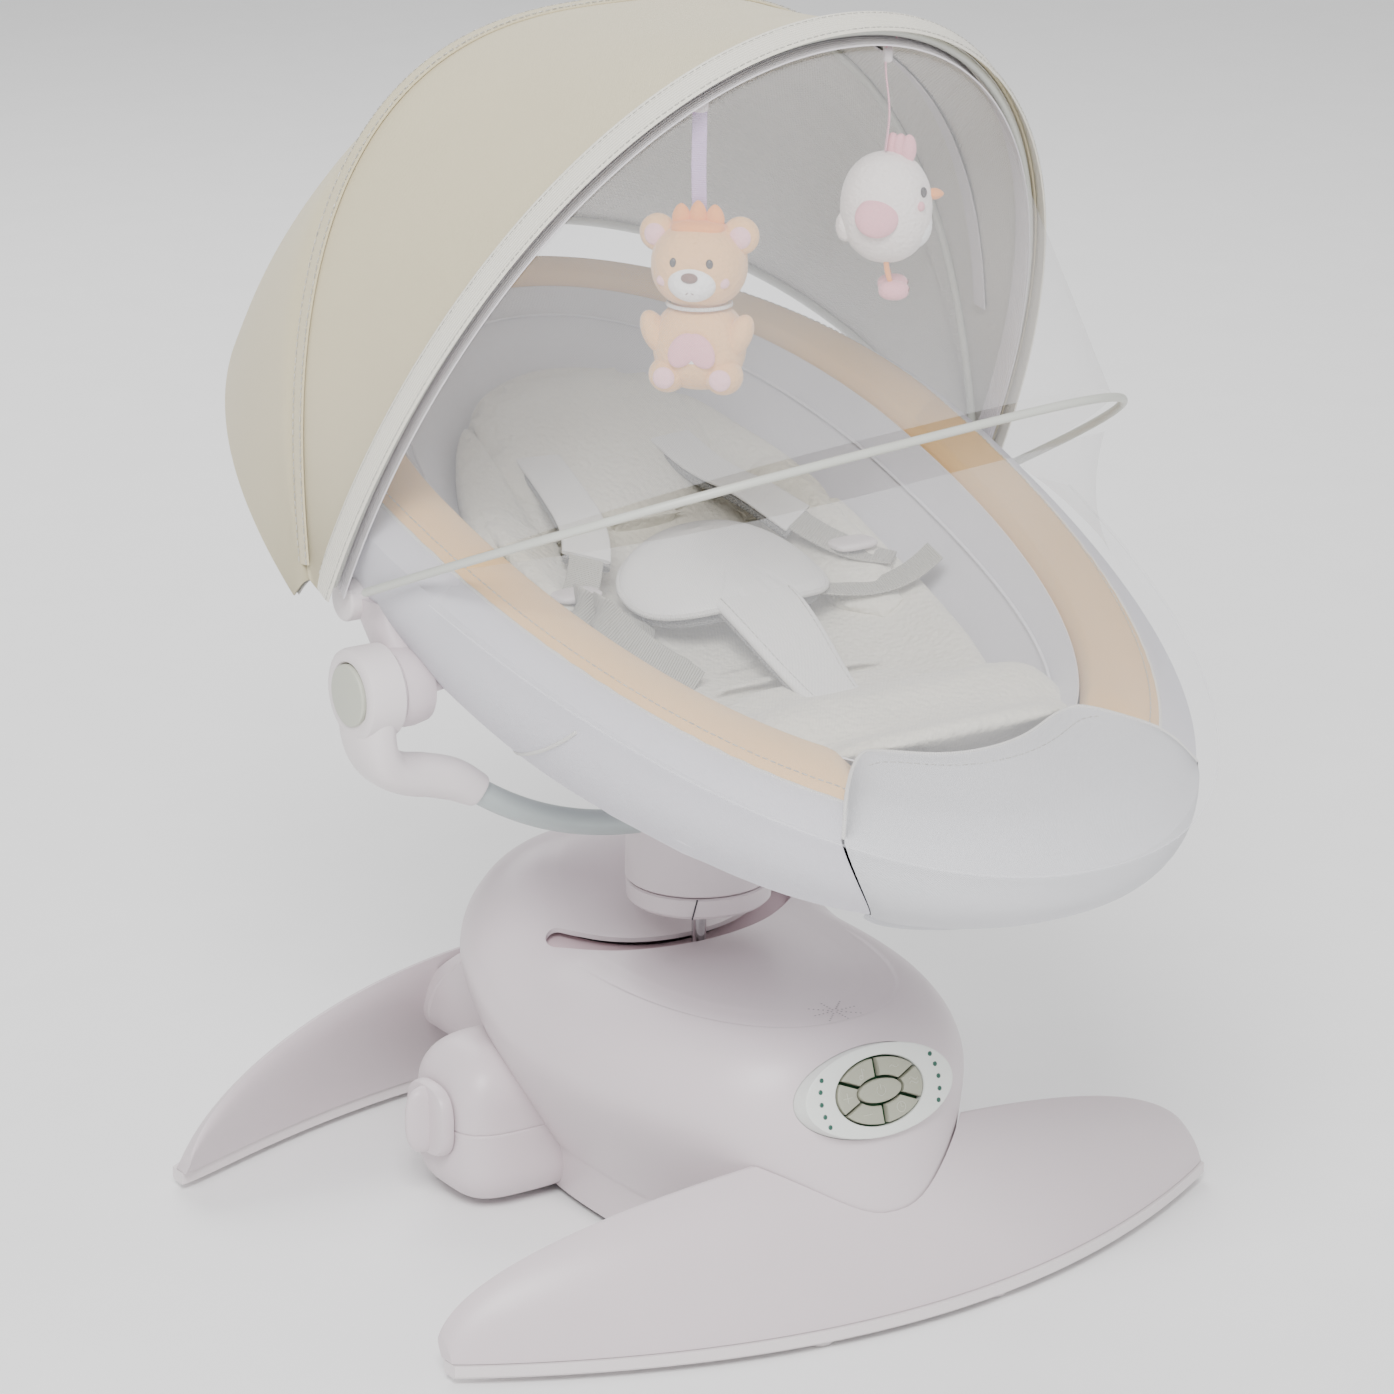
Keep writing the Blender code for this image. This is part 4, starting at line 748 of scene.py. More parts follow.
# ---- base -------------------------------------------------------------------------------------------
@dataclass
class Base:
    """Housing, crescent legs, neck, side pods and their knobs."""
    stations: tuple = ((0.030, 0.078, 0.228, 0.150), (0.200, 0.082, 0.222, 0.156),
                       (0.260, 0.088, 0.217, 0.158), (0.500, 0.113, 0.205, 0.165),
                       (0.680, 0.127, 0.197, 0.168), (0.800, 0.124, 0.190, 0.166),
                       (0.900, 0.112, 0.181, 0.155), (0.960, 0.098, 0.170, 0.142),
                       (0.990, 0.084, 0.156, 0.127), (1.000, 0.068, 0.136, 0.108))
    exponent: float = 2.35
    deck_front: float = 0.169
    deck_rise: float = 0.038
    rise_end: float = 0.110
    crease: float = 0.0013
    wall: float = 0.0028
    swing_radius: float = 0.122
    swing_lean: float = 12.0
    slot_half_angle: float = 42.0
    slot_half_width: float = 0.008
    leg_span: float = 0.272
    leg_low: float = 0.005
    leg_joint: float = 0.013
    leg_thick: float = 0.030
    front: tuple = (-1, 0.098, 0.190, 0.242, 0.150, 0.160)
    rear: tuple = (1, 0.116, 0.205, 0.262, 0.166, 0.184)
    pod_y: float = 0.072
    pod_half: float = 0.041
    pod_outer: float = 0.146
    pod_top: float = 0.103
    knob_z: float = 0.058
    speaker_y: float = -0.147
    speaker_reach: float = 0.015
    hole_radius: float = 0.00065

    def deck(self, y: Array) -> Array:
        """Height of the deck: the front height plus an eased rise towards the rear."""
        return self.deck_front + self.deck_rise * ease(y / self.rise_end)

    def housing(self, swell: float = 0.0, columns: int = 240) -> Array:
        """Superellipse rings from the floor to the deck, then shrinking rings over the deck."""
        power = 2 / self.exponent
        level = np.concatenate((np.linspace(0, 1.9, 10), np.linspace(2.0, 7.6, 56),
                                np.linspace(7.7, 9.0, 40)))
        shrink = np.concatenate((np.ones(len(level)), np.linspace(0.96, 0.015, 26)))
        level = np.concatenate((level, np.full(26, 9.0)))
        share, half, front, rear = (part[:, None] for part in through(self.stations, level).T)
        c, s = circle(columns)
        reach = np.where(s > 0, rear, front)
        x = (half + swell) * shrink[:, None] * spow(c, power)
        y = (reach + swell) * shrink[:, None] * spow(s, power)
        fade = ease((0.02 - y) / 0.10)
        step = ease((level[:, None] - 7.72) / 0.22) * self.crease * fade
        return points_of(x, y, self.deck(y) * share - step + swell * (share > 0.9))

    def envelope(self, swell: float) -> bpy.types.Object:
        """Closed tool of the housing's outside."""
        grid = self.housing(swell, 120)
        floor = grid[:1].copy()
        floor[..., 2] = -0.01
        return surface("housing tool", np.concatenate((floor, grid)), Finish.DARK_AND_NOTCH_SHADE, "base", closed=True)

    def slot_tool(self) -> bpy.types.Object:
        """Arc slot with round ends, as a standing prism."""
        lean = math.radians(self.swing_lean)
        middle_y = self.swing_radius * math.cos(lean)
        flat = math.cos(lean)
        end = math.radians(self.slot_half_angle)
        arc = np.linspace(-end, end, 60)
        cap = np.linspace(0, math.pi, 13)[1:-1]
        radius = np.concatenate((np.full(60, self.swing_radius + self.slot_half_width),
                                 self.swing_radius + self.slot_half_width * np.cos(cap),
                                 np.full(60, self.swing_radius - self.slot_half_width),
                                 self.swing_radius - self.slot_half_width * np.cos(cap)))
        turn = self.slot_half_width / self.swing_radius
        angle = np.concatenate((arc, end + turn * np.sin(cap), arc[::-1], -end - turn * np.sin(cap)))
        radius, angle = np.append(radius, radius[0]), np.append(angle, angle[0])
        x, y = radius * np.sin(angle), middle_y - radius * np.cos(angle) * flat
        return surface("slot tool", points_of(x[None], y[None], np.array([[0.148], [0.240]])),
                       Finish.DARK_AND_NOTCH_SHADE, "base", closed=True)

    def build_housing(self) -> None:
        """Upper cover with its slot and panel opening, and speaker holes drawn as discs of painted shade."""
        cover = surface("housing_shell", self.housing(), Finish.SHELL, "base", closed=False,
                        wall=0.0)
        work = bmesh.new()
        work.from_mesh(cover.data)
        top = [edge for edge in work.edges if edge.is_boundary and edge.verts[0].co.z > 0.1]
        bmesh.ops.holes_fill(work, edges=top)
        bmesh.ops.recalc_face_normals(work, faces=work.faces)
        work.to_mesh(cover.data)
        work.free()
        shell = cover.modifiers.new("wall", "SOLIDIFY")
        shell.thickness = self.wall
        shell.offset = -1.0
        bake(cover)
        carve(cover, [self.slot_tool(), Panel().hole_tool()])
        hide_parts("base_upper_cover")
        angle = np.radians(np.linspace(-48, 48, 60))[None]
        radius = np.linspace(0.104, 0.140, 8)[:, None]
        lean = math.cos(math.radians(self.swing_lean))
        y = self.swing_radius * lean - radius * np.cos(angle) * lean
        surface("slot_tray", points_of(radius * np.sin(angle), y, self.deck(y) - 0.0115), Finish.TRAY, "base",
                wall=0.0010, side=0)
        # Speaker holes drawn as flat grey discs on the deck: painted shade, the shadow in each hole.
        arms, steps = np.meshgrid(np.arange(8), np.arange(5), indexing="ij")
        angle = np.radians(arms * 45.0)
        radius = self.speaker_reach * (steps + 0.6 * (arms % 2) + 0.8) / 5.2
        x, y = radius * np.cos(angle), self.speaker_y + radius * np.sin(angle)
        z = self.deck(y) - self.crease + 0.00012
        x, y, z = (part.ravel()[:, None, None] for part in (x, y, z))
        ring = np.stack(circle(8), -1) * np.array([1.0, 0.02])[:, None, None] * self.hole_radius
        self.dots("speaker_hole_shade_discs", points_of(x + ring[None, ..., 0], y + ring[None, ..., 1], z), Finish.HOLE_SHADE)

    @staticmethod
    def dots(name: str, grid: Array, finish: object) -> bpy.types.Object:
        """Many small discs as one piece, from grids of (disc, ring, point, 3)."""
        quads = grid_faces(*grid.shape[1:3], copies=len(grid))
        mesh = bpy.data.meshes.new(name)
        mesh.from_pydata((grid.reshape(-1, 3) + POST_PLACE).tolist(), [], quads.tolist())
        piece = bpy.data.objects.new(name, mesh)
        bpy.context.scene.collection.objects.link(piece)
        return dress(piece, finish, "base")

    def leg(self, sizes: tuple, x: Array, share: Array, inner: bool, low: float) -> Array:
        """Face of a leg: its reach eases from foot to crest, and it thins to a fine crest."""
        side, height, top, foot, tip_top, tip_foot = sizes
        along = x / self.leg_span
        taper = np.sqrt(np.maximum(1 - along ** 2, 0))
        crest = self.leg_joint + 0.006 + (height - self.leg_joint - 0.006) * taper ** 1.05
        z = mix(low, crest, share)
        rise = np.clip((z - self.leg_low) / (crest - self.leg_low), 0, 1)
        outer = mix(mix(foot, tip_foot, along ** 2), mix(top, tip_top, along ** 2), rise ** 1.25)
        thick = mix(0.010, self.leg_thick, taper)
        narrow = thick * (1 - 0.92 * rise ** 7)
        middle = outer - thick / 2
        return points_of(x, side * (middle + narrow / 2 * (-1 if inner else 1)), z)

    def build_leg(self, label: str, sizes: tuple) -> None:
        """Moulded blade and bottom plate of one leg."""
        x = self.leg_span * 0.994 * np.sin(np.linspace(-math.pi / 2, math.pi / 2, 130))[:, None]
        share = (1 - (1 - np.linspace(0, 1, 34)) ** 1.6)[None]
        outer = self.leg(sizes, x, share, False, self.leg_joint + 0.0005)
        inner = self.leg(sizes, x, share[:, ::-1], True, self.leg_joint + 0.0005)
        grid = np.concatenate((outer, inner, outer[:, :1]), axis=1)
        blade = surface(label + "_leg_blade", grid, Finish.SHELL, "base", closed=True, sharp=50)
        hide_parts(label + "_leg_cover")
        low = np.array([[0.0]])
        rim_out = self.leg(sizes, x, low, False, self.leg_low)
        rim_in = self.leg(sizes, x, low, True, self.leg_low)
        rows = []
        for rim, z, inset in ((rim_out, self.leg_low, 0.0015), (rim_out, self.leg_low + 0.0015, 0.0),
                              (rim_out, self.leg_joint, 0.0), (rim_in, self.leg_joint, 0.0),
                              (rim_in, self.leg_low, 0.0), (rim_out, self.leg_low, 0.0015)):
            row = rim.copy()
            row[..., 1] -= sizes[0] * inset
            row[..., 2] = z
            rows.append(row)
        plate = surface(label + "_leg_plate", np.concatenate(rows, axis=1), Finish.HEAD, "base",
                        closed=True)
        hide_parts(label + "_leg_base")
        if label == "front":
            carve(blade, [self.envelope(0.0012)])
            carve(plate, [self.envelope(0.0012)])
        for word in ("left", "right"):
            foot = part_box(f"{label}_{word}_foot")
            centre = np.array([(foot[0].x + foot[1].x) / 2, (foot[0].y + foot[1].y) / 2, 0.0]) - POST_PLACE
            bump = [(0.0001, 0.0), (0.0075, 0.0), (0.0086, 0.0006), (0.0096, 0.0025), (0.0105, 0.0058)]
            pad = surface(f"{label}_{word}_foot_bump", lathe(bump, centre, (0, 0, 1), 40), Finish.RUBBER,
                          "base", closed=True)
            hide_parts(f"{label}_{word}_foot")

    def build_neck(self) -> None:
        """Racetrack tube from the housing to the rear leg, with a rounded collar."""
        c, s = circle(120)
        x, z = 0.084 * spow(c, 0.8), 0.084 + 0.040 * spow(s, 0.8)
        height = np.clip((z - self.leg_low) / (0.116 - self.leg_low), 0, 1)
        end = mix(0.262, 0.205, height ** 1.25) - self.leg_thick + 0.004 - 0.3 * x ** 2
        share = np.concatenate(([0.0], np.linspace(0.35, 0.80, 8), [0.82, 0.84, 0.86, 1.0]))[:, None]
        inset = np.array([0.0] * 9 + [0.0, 0.0016, 0.0, 0.0])[:, None]
        grid = points_of(x * (1 - inset * 10), mix(0.115, end, share), z + (0.084 - z) * inset * 20)
        neck = surface("neck_tube", grid, Finish.SHELL, "base", closed=True)
        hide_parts("rear_neck")

    def build_pod(self, side: int, word: str) -> None:
        """Rounded side pod with its parting groove, and the winged knob on it."""
        count = 90
        z = np.concatenate((self.leg_low + 0.024 * (1 - np.cos(np.linspace(0, math.pi / 2, 12))),
                            np.linspace(0.031, 0.0515, 6), 0.0540 + np.linspace(-0.0011, 0.0011, 7),
                            np.linspace(0.057, 0.070, 4),
                            self.pod_top - 0.032 * (1 - np.sin(np.linspace(0.02, math.pi / 2, 18)))))
        lower = np.clip((self.leg_low + 0.024 - z) / 0.024, 0, 1)
        upper = np.clip((z - self.pod_top + 0.032) / 0.032, 0, 1)
        inset = 0.020 * (1 - np.sqrt(1 - lower ** 2)) + 0.030 * (1 - np.sqrt(np.maximum(1 - upper ** 2, 0)))
        inset += 0.0009 * bell(z, 0.0540, 0.0006)
        c, s = circle(count)
        power = 2 / 3.6
        half_x = (self.pod_outer - 0.050) / 2
        centre_x = side * (0.050 + half_x)
        x = centre_x + (half_x - inset[:, None]) * spow(c, power)
        y = self.pod_y + (self.pod_half - inset[:, None]) * spow(s, power)
        pod = surface(word + "_pod_shell", points_of(x, y, z[:, None]), Finish.SHELL, "base", closed=True)
        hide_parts(word + "_pod")
        face = side * (self.pod_outer + 0.0005)
        c, s = circle(80)
        depth = np.array([0.0, 0.0, 0.002, 0.0055, 0.0072, 0.0080, 0.0084, 0.0085])[:, None]
        size = np.array([0.05, 1.0, 1.02, 1.0, 0.96, 0.88, 0.6, 0.02])[:, None] * 0.0228
        plate = points_of(face + side * depth, self.pod_y + size * spow(c, 2 / 2.8),
                          self.knob_z + size * spow(s, 2 / 2.8))
        knob = surface(word + "_knob_plate", plate, Finish.SHELL, word + "_knob", closed=True)
        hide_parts(word + "_lock_knob")
        wing = ellipsoid((0.0135, 0.0075, 0.0215), 2.6, 64)
        wing[..., 1] *= 1 - 0.45 * np.clip(side * wing[..., 0] / 0.0135, 0, 1)
        wing += (face + side * 0.0075, self.pod_y, self.knob_z)
        surface(word + "_knob_wing", wing, Finish.SHELL, word + "_knob", closed=True)

    def build(self) -> None:
        """Build the whole base."""
        self.build_housing()
        self.build_leg("front", self.front)
        self.build_leg("rear", self.rear)
        self.build_neck()
        self.build_pod(-1, "left")
        self.build_pod(1, "right")
        # Dark blobs at the housing's rim: painted shade standing in for the shadow inside its notches.
        for x, y in ((-0.0760, -0.060), (-0.0700, -0.135), (-0.0560, -0.172), (0.0700, -0.135),
                     (-0.124, 0.1065)):
            notch = ellipsoid((0.0045, 0.0045, 0.0032), 2.0, 20) + (x, y, 0.0075)
            surface(f"rim_notch_shade_{abs(int(x * 1e4))}_{abs(int(y * 1e4))}", notch, Finish.DARK_AND_NOTCH_SHADE, "base",
                    closed=True)


@dataclass
class Panel:
    """Oval control panel on the leaning front wall."""
    middle: tuple = (0.0, -0.1925, 0.133)
    lean: float = 20.0
    half: tuple = (0.052, 0.027)
    field: tuple = (0.031, 0.0205)
    centre: tuple = (0.0155, 0.0075)
    gap: float = 0.0012
    top: float = 0.0030

    def place(self, across: Array, up: Array, out: Array) -> Array:
        """Points of the panel's plane: middle + across X + up the wall + outwards."""
        lean = math.radians(self.lean)
        flat = points_of(across, up, out)
        axes = np.array([[1, 0, 0], [0, math.sin(lean), math.cos(lean)],
                         [0, -math.cos(lean), math.sin(lean)]])
        return flat @ axes + self.middle

    def hole_tool(self) -> bpy.types.Object:
        """Oval prism that opens the housing for the bezel."""
        c, s = circle(96)
        grid = self.place((self.half[0] + 0.0004) * c[None], (self.half[1] + 0.0004) * s[None],
                          np.array([[-0.020], [0.012]]))
        return surface("panel tool", grid, Finish.DARK_AND_NOTCH_SHADE, "base", closed=True)

    def button(self, name: str, index: int) -> None:
        """One ring button: a grid over radius and angle whose border rows drop to the board."""
        body = name + "_button"
        border = np.array([0.0, 0.0, 0.05, 0.16, 0.4, 0.6, 0.84, 0.95, 1.0, 1.0])
        depth = np.array([-1.5, 2.35, 2.80, 3.0, 3.0, 3.0, 3.0, 2.80, 2.35, -1.5]) / 1000
        if index < 0:
            c, s = circle(64)
            shrink = np.array([1, 1, 0.97, 0.9, 0.5, 0.02])[:, None]
            height = np.array([-0.0015, 0.0023, 0.0028, 0.0030, 0.0029, 0.0028])[:, None]
            size = [value - self.gap / 2 for value in self.centre]
            grid = self.place(size[0] * shrink * c, size[1] * shrink * s, height)
        else:
            start = math.pi / 3 * index + math.pi / 2
            share = np.concatenate(([0, 0], np.linspace(0.02, 0.98, 24), [1, 1]))
            drop = np.concatenate(([-0.0015, 0.0023], np.full(24, 0.0030), [0.0023, -0.0015]))
            inner = [value + self.gap for value in self.centre]
            outer = [value - self.gap for value in self.field]
            rows = []
            for half in (inner, outer):
                trim = self.gap / math.hypot(half[0] * math.cos(start), half[1] * math.sin(start))
                angle = mix(start + trim, start + math.pi / 3 - trim, share)
                rows.append(np.stack((half[0] * np.cos(angle), half[1] * np.sin(angle)), -1))
            flat = mix(rows[0][None], rows[1][None], border[:, None, None])
            height = np.minimum(depth[:, None], drop[None])
            grid = self.place(flat[..., 0], flat[..., 1], height)
        piece = surface(body + "_cap", grid, Finish.BUTTON, body, closed=True, sharp=50)
        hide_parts(body)

    def symbol(self, name: str, body: str, strokes: Sequence, at: tuple) -> None:
        """Raised strokes of one generic symbol on a button."""
        for number, stroke in enumerate(strokes):
            line = np.asarray(stroke, float) * 0.0030 + at
            path = self.place(line[:, 0], line[:, 1], np.full(len(line), self.top))
            normal = self.place(np.array(0.0), np.array(0.0), np.array(1.0)) - np.array(self.middle)
            surface(f"{name}_symbol_{number}", rod(path, 0.00028, 8, reference=normal), Finish.ICON, body,
                    closed=True, sharp=80)

    def build(self) -> None:
        """Bezel, buttons, symbols and indicator lamps."""
        c, s = circle(120)
        shrink = np.array([1.0, 1.0, 0.995, 0.98, 0.965])[:, None]
        height = np.array([-0.020, 0.0010, 0.0018, 0.0022, 0.0023])[:, None]
        outer = self.place(self.half[0] * shrink * c, self.half[1] * shrink * s, height)
        low = np.array([1.06, 1.02, 1.0, 1.0])[:, None]
        inner = self.place(self.field[0] * low * c, self.field[1] * low * s,
                           np.array([0.0023, 0.0021, 0.0014, -0.003])[:, None])
        bezel = surface("panel_bezel", np.concatenate((outer, inner, outer[:1])), Finish.BEZEL, "base")
        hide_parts("control_panel")
        names = ("melody", "volume_up", "volume_down", "timer", "swing_up", "swing_down")
        self.button("power", -1)
        turn = np.linspace(0.6, 2 * math.pi - 0.6, 20) + math.pi / 2
        ring = np.stack((np.cos(turn), np.sin(turn)), -1)
        wave = np.stack((np.linspace(-1, 1, 12), 0.3 * np.sin(np.linspace(0, 2 * math.pi, 12))), -1)
        full = np.stack(circle(18), -1)
        marks = {"power": (ring, [(0, 0.2), (0, 1.2)]), "melody": ([(0.4, -0.6), (0.4, 1), (0.9, 0.6)],
                 full * 0.4 + (0.0, -0.7)), "volume_up": ([(-1, 0), (1, 0)], [(0, -1), (0, 1)]),
                 "volume_down": ([(-1, 0), (1, 0)],), "timer": (full, [(0, 0.7), (0, 0), (0.6, 0)]),
                 "swing_up": (wave, wave + (0, 0.8)), "swing_down": (wave,)}
        self.symbol("power", "power_button", marks["power"], (0.0, 0.0))
        for index, name in enumerate(names):
            self.button(name, index)
            angle = math.pi / 3 * (index + 0.5) + math.pi / 2
            at = (0.0235 * math.cos(angle), 0.0140 * math.sin(angle))
            self.symbol(name, name + "_button", marks[name], at)
        for side in (-1, 1):
            for number, angle in enumerate(np.radians(np.linspace(-38, 38, 5))):
                x = side * (0.0375 + 0.0040 * math.cos(angle * 2))
                dome = ellipsoid((0.0015, 0.0015, 0.0007), 2.0, 14)
                lamp = self.place(dome[..., 0] + x, dome[..., 1] + 0.0225 * math.sin(angle),
                                  dome[..., 2] + 0.0023)
                surface(f"lamp_{'left' if side < 0 else 'right'}_{number}", lamp, Finish.LAMP, "base",
                        closed=True)


@dataclass
class Head:
    """Post, swinging head, yoke and the recline brackets."""
    radius: float = 0.0450
    low: float = 0.195
    split: float = 0.209
    high: float = 0.288
    yoke_radius: float = 0.0078
    yoke_span: float = 0.176
    yoke_low: float = 0.2505
    yoke_rise: float = 0.058
    yoke_curve: float = 2.6
    hinge_z: float = 0.366
    inner_x: float = 0.2155
    outer_x: float = 0.240
    disc: float = 0.0185

    def build_hub(self) -> None:
        """Hub with its split ring, a painted-shade line for its notch, and the steel post below."""
        hub = [(0.0001, self.split + 0.0004), (self.radius - 0.0012, self.split + 0.0004),
               (self.radius, self.split + 0.0016)]
        hub += [(mix(self.radius, self.radius * 0.97, t), mix(self.split + 0.0016, self.high - 0.004, t))
                for t in np.linspace(0.02, 1, 12)]
        turn = np.linspace(0, math.pi / 2, 6)[1:]
        hub += [(self.radius * 0.97 - 0.004 * (1 - math.cos(t)), self.high - 0.004 + 0.004 * math.sin(t))
                for t in turn] + [(0.0001, self.high)]
        piece = surface("head_hub", lathe(hub, (0, 0, 0), (0, 0, 1), 120), Finish.SHELL, "carrier",
                        closed=True)
        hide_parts("swing_head")
        ring = [(0.0001, self.low), (self.radius * 0.975 - 0.002, self.low),
                (self.radius * 0.98, self.low + 0.0022), (self.radius - 0.0004, self.split - 0.0016),
                (self.radius - 0.0016, self.split - 0.0006), (0.0001, self.split - 0.0006)]
        piece = surface("head_skirt", lathe(ring, (0, 0, 0), (0, 0, 1), 120), Finish.SHELL, "carrier",
                        closed=True)
        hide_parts("head_ring")
        # The skirt's notch is a thin dark rod: painted shade for the shadow in the gap.
        angle = math.radians(-128)
        path = np.linspace((0, 0, self.low + 0.001), (0.0030, 0.0, self.split - 0.001), 4)
        path = turn_about_z(path, math.degrees(angle) + 90) + (
            (self.radius - 0.0004) * math.cos(angle), (self.radius - 0.0004) * math.sin(angle), 0)
        surface("skirt_notch_shade", rod(path, 0.0005, 8, reference=(1, 0, 0)), Finish.DARK_AND_NOTCH_SHADE, "carrier", closed=True)
        post = [(0.0001, 0.105), (0.0045, 0.105), (0.0045, 0.215), (0.0001, 0.215)]
        piece = surface("post_rod", lathe(post, (0, 0, 0), (0, 0, 1), 48), Finish.STEEL, "carrier",
                        closed=True)
        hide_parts("swing_post")
        collar = rounded_lathe(0.0085, 0.187, 0.1945, 0.001)
        surface("post_collar", lathe(collar, (0, 0, 0), (0, 0, 1), 48), Finish.HEAD, "carrier", closed=True)

    def yoke(self, share: Array) -> Array:
        """Centre line of the yoke: low in the middle, rising by a power of the distance."""
        return points_of(self.yoke_span * share, 0 * share,
                         self.yoke_low + self.yoke_rise * np.abs(share) ** self.yoke_curve)

    def build_bracket(self, side: int, word: str) -> None:
        """Elbow, hinge disc, recline button and the cap between bracket and seat."""
        middle_x = (self.inner_x + self.outer_x) / 2
        half_t = (self.outer_x - self.inner_x) / 2
        table = ((0.1565, 0.2935, 0.0098, 0.0098, 36), (0.158, 0.2942, 0.0108, 0.0108, 36),
                 (0.172, 0.3025, 0.0125, 0.0125, 28), (0.190, 0.3085, 0.0145, 0.0125, 14),
                 (0.206, 0.3125, 0.0170, 0.0120, 20), (0.2205, 0.3210, 0.0200, 0.0118, 52),
                 (middle_x, 0.3380, 0.0225, half_t - 0.0004, 90),
                 (middle_x, self.hinge_z, 0.0245, half_t - 0.0006, 90))
        x, z, half_y, half, turn = through(table, np.linspace(0, 7, 70)).T
        turn = np.radians(turn)
        c, s = circle(48)
        across, wide = half_y[:, None] * spow(c, 0.75), half[:, None] * spow(s, 0.75)
        grid = points_of(side * (x[:, None] - np.sin(turn)[:, None] * wide), across,
                         z[:, None] + np.cos(turn)[:, None] * wide)
        elbow = surface(word + "_elbow", grid, Finish.HEAD, "carrier", closed=True, sharp=50)
        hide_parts(word + "_recline_bracket")
        start = (side * self.inner_x, 0, self.hinge_z)
        face = self.outer_x - self.inner_x
        disc = [(0.0001, 0.0), (0.0255, 0.0), (0.0275, 0.002), (0.0275, face - 0.004),
                (0.0268, face - 0.0015),
                (0.0250, face - 0.0003), (0.0225, face), (0.0200, face - 0.0003), (0.0192, face - 0.0012),
                (0.0190, face - 0.0064), (0.0001, face - 0.0064)]
        surface(word + "_hinge_disc", lathe(disc, start, (side, 0, 0), 96), Finish.HEAD, "carrier",
                closed=True)
        button = rounded_lathe(self.disc, face - 0.0031, face + 0.0018, 0.0012)
        cap = surface(word + "_recline_cap", lathe(button, start, (side, 0, 0), 80), Finish.DISC,
                      word + "_recline_button", closed=True)
        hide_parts(word + "_recline_button")
        lower = [(0.0001, 0.0), (0.0215, 0.0), (0.0232, 0.0012), (0.0240, 0.0060), (0.0240, 0.012),
                 (0.0225, 0.020), (0.0001, 0.024)]
        surface(word + "_seat_boss", lathe(lower, (side * (self.inner_x - 0.001), 0, self.hinge_z),
                                           (-side, 0, 0), 80), Finish.SHELL, "seat", closed=True)

    def build(self) -> None:
        """Build the head, the yoke and both brackets."""
        self.build_hub()
        tube = rod(self.yoke(np.linspace(-1, 1, 121)), self.yoke_radius, 28, reference=(0, 1, 0))
        piece = surface("yoke_pipe", tube, Finish.TUBE, "carrier", closed=True)
        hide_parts("yoke_tube")
        self.build_bracket(-1, "left")
        self.build_bracket(1, "right")


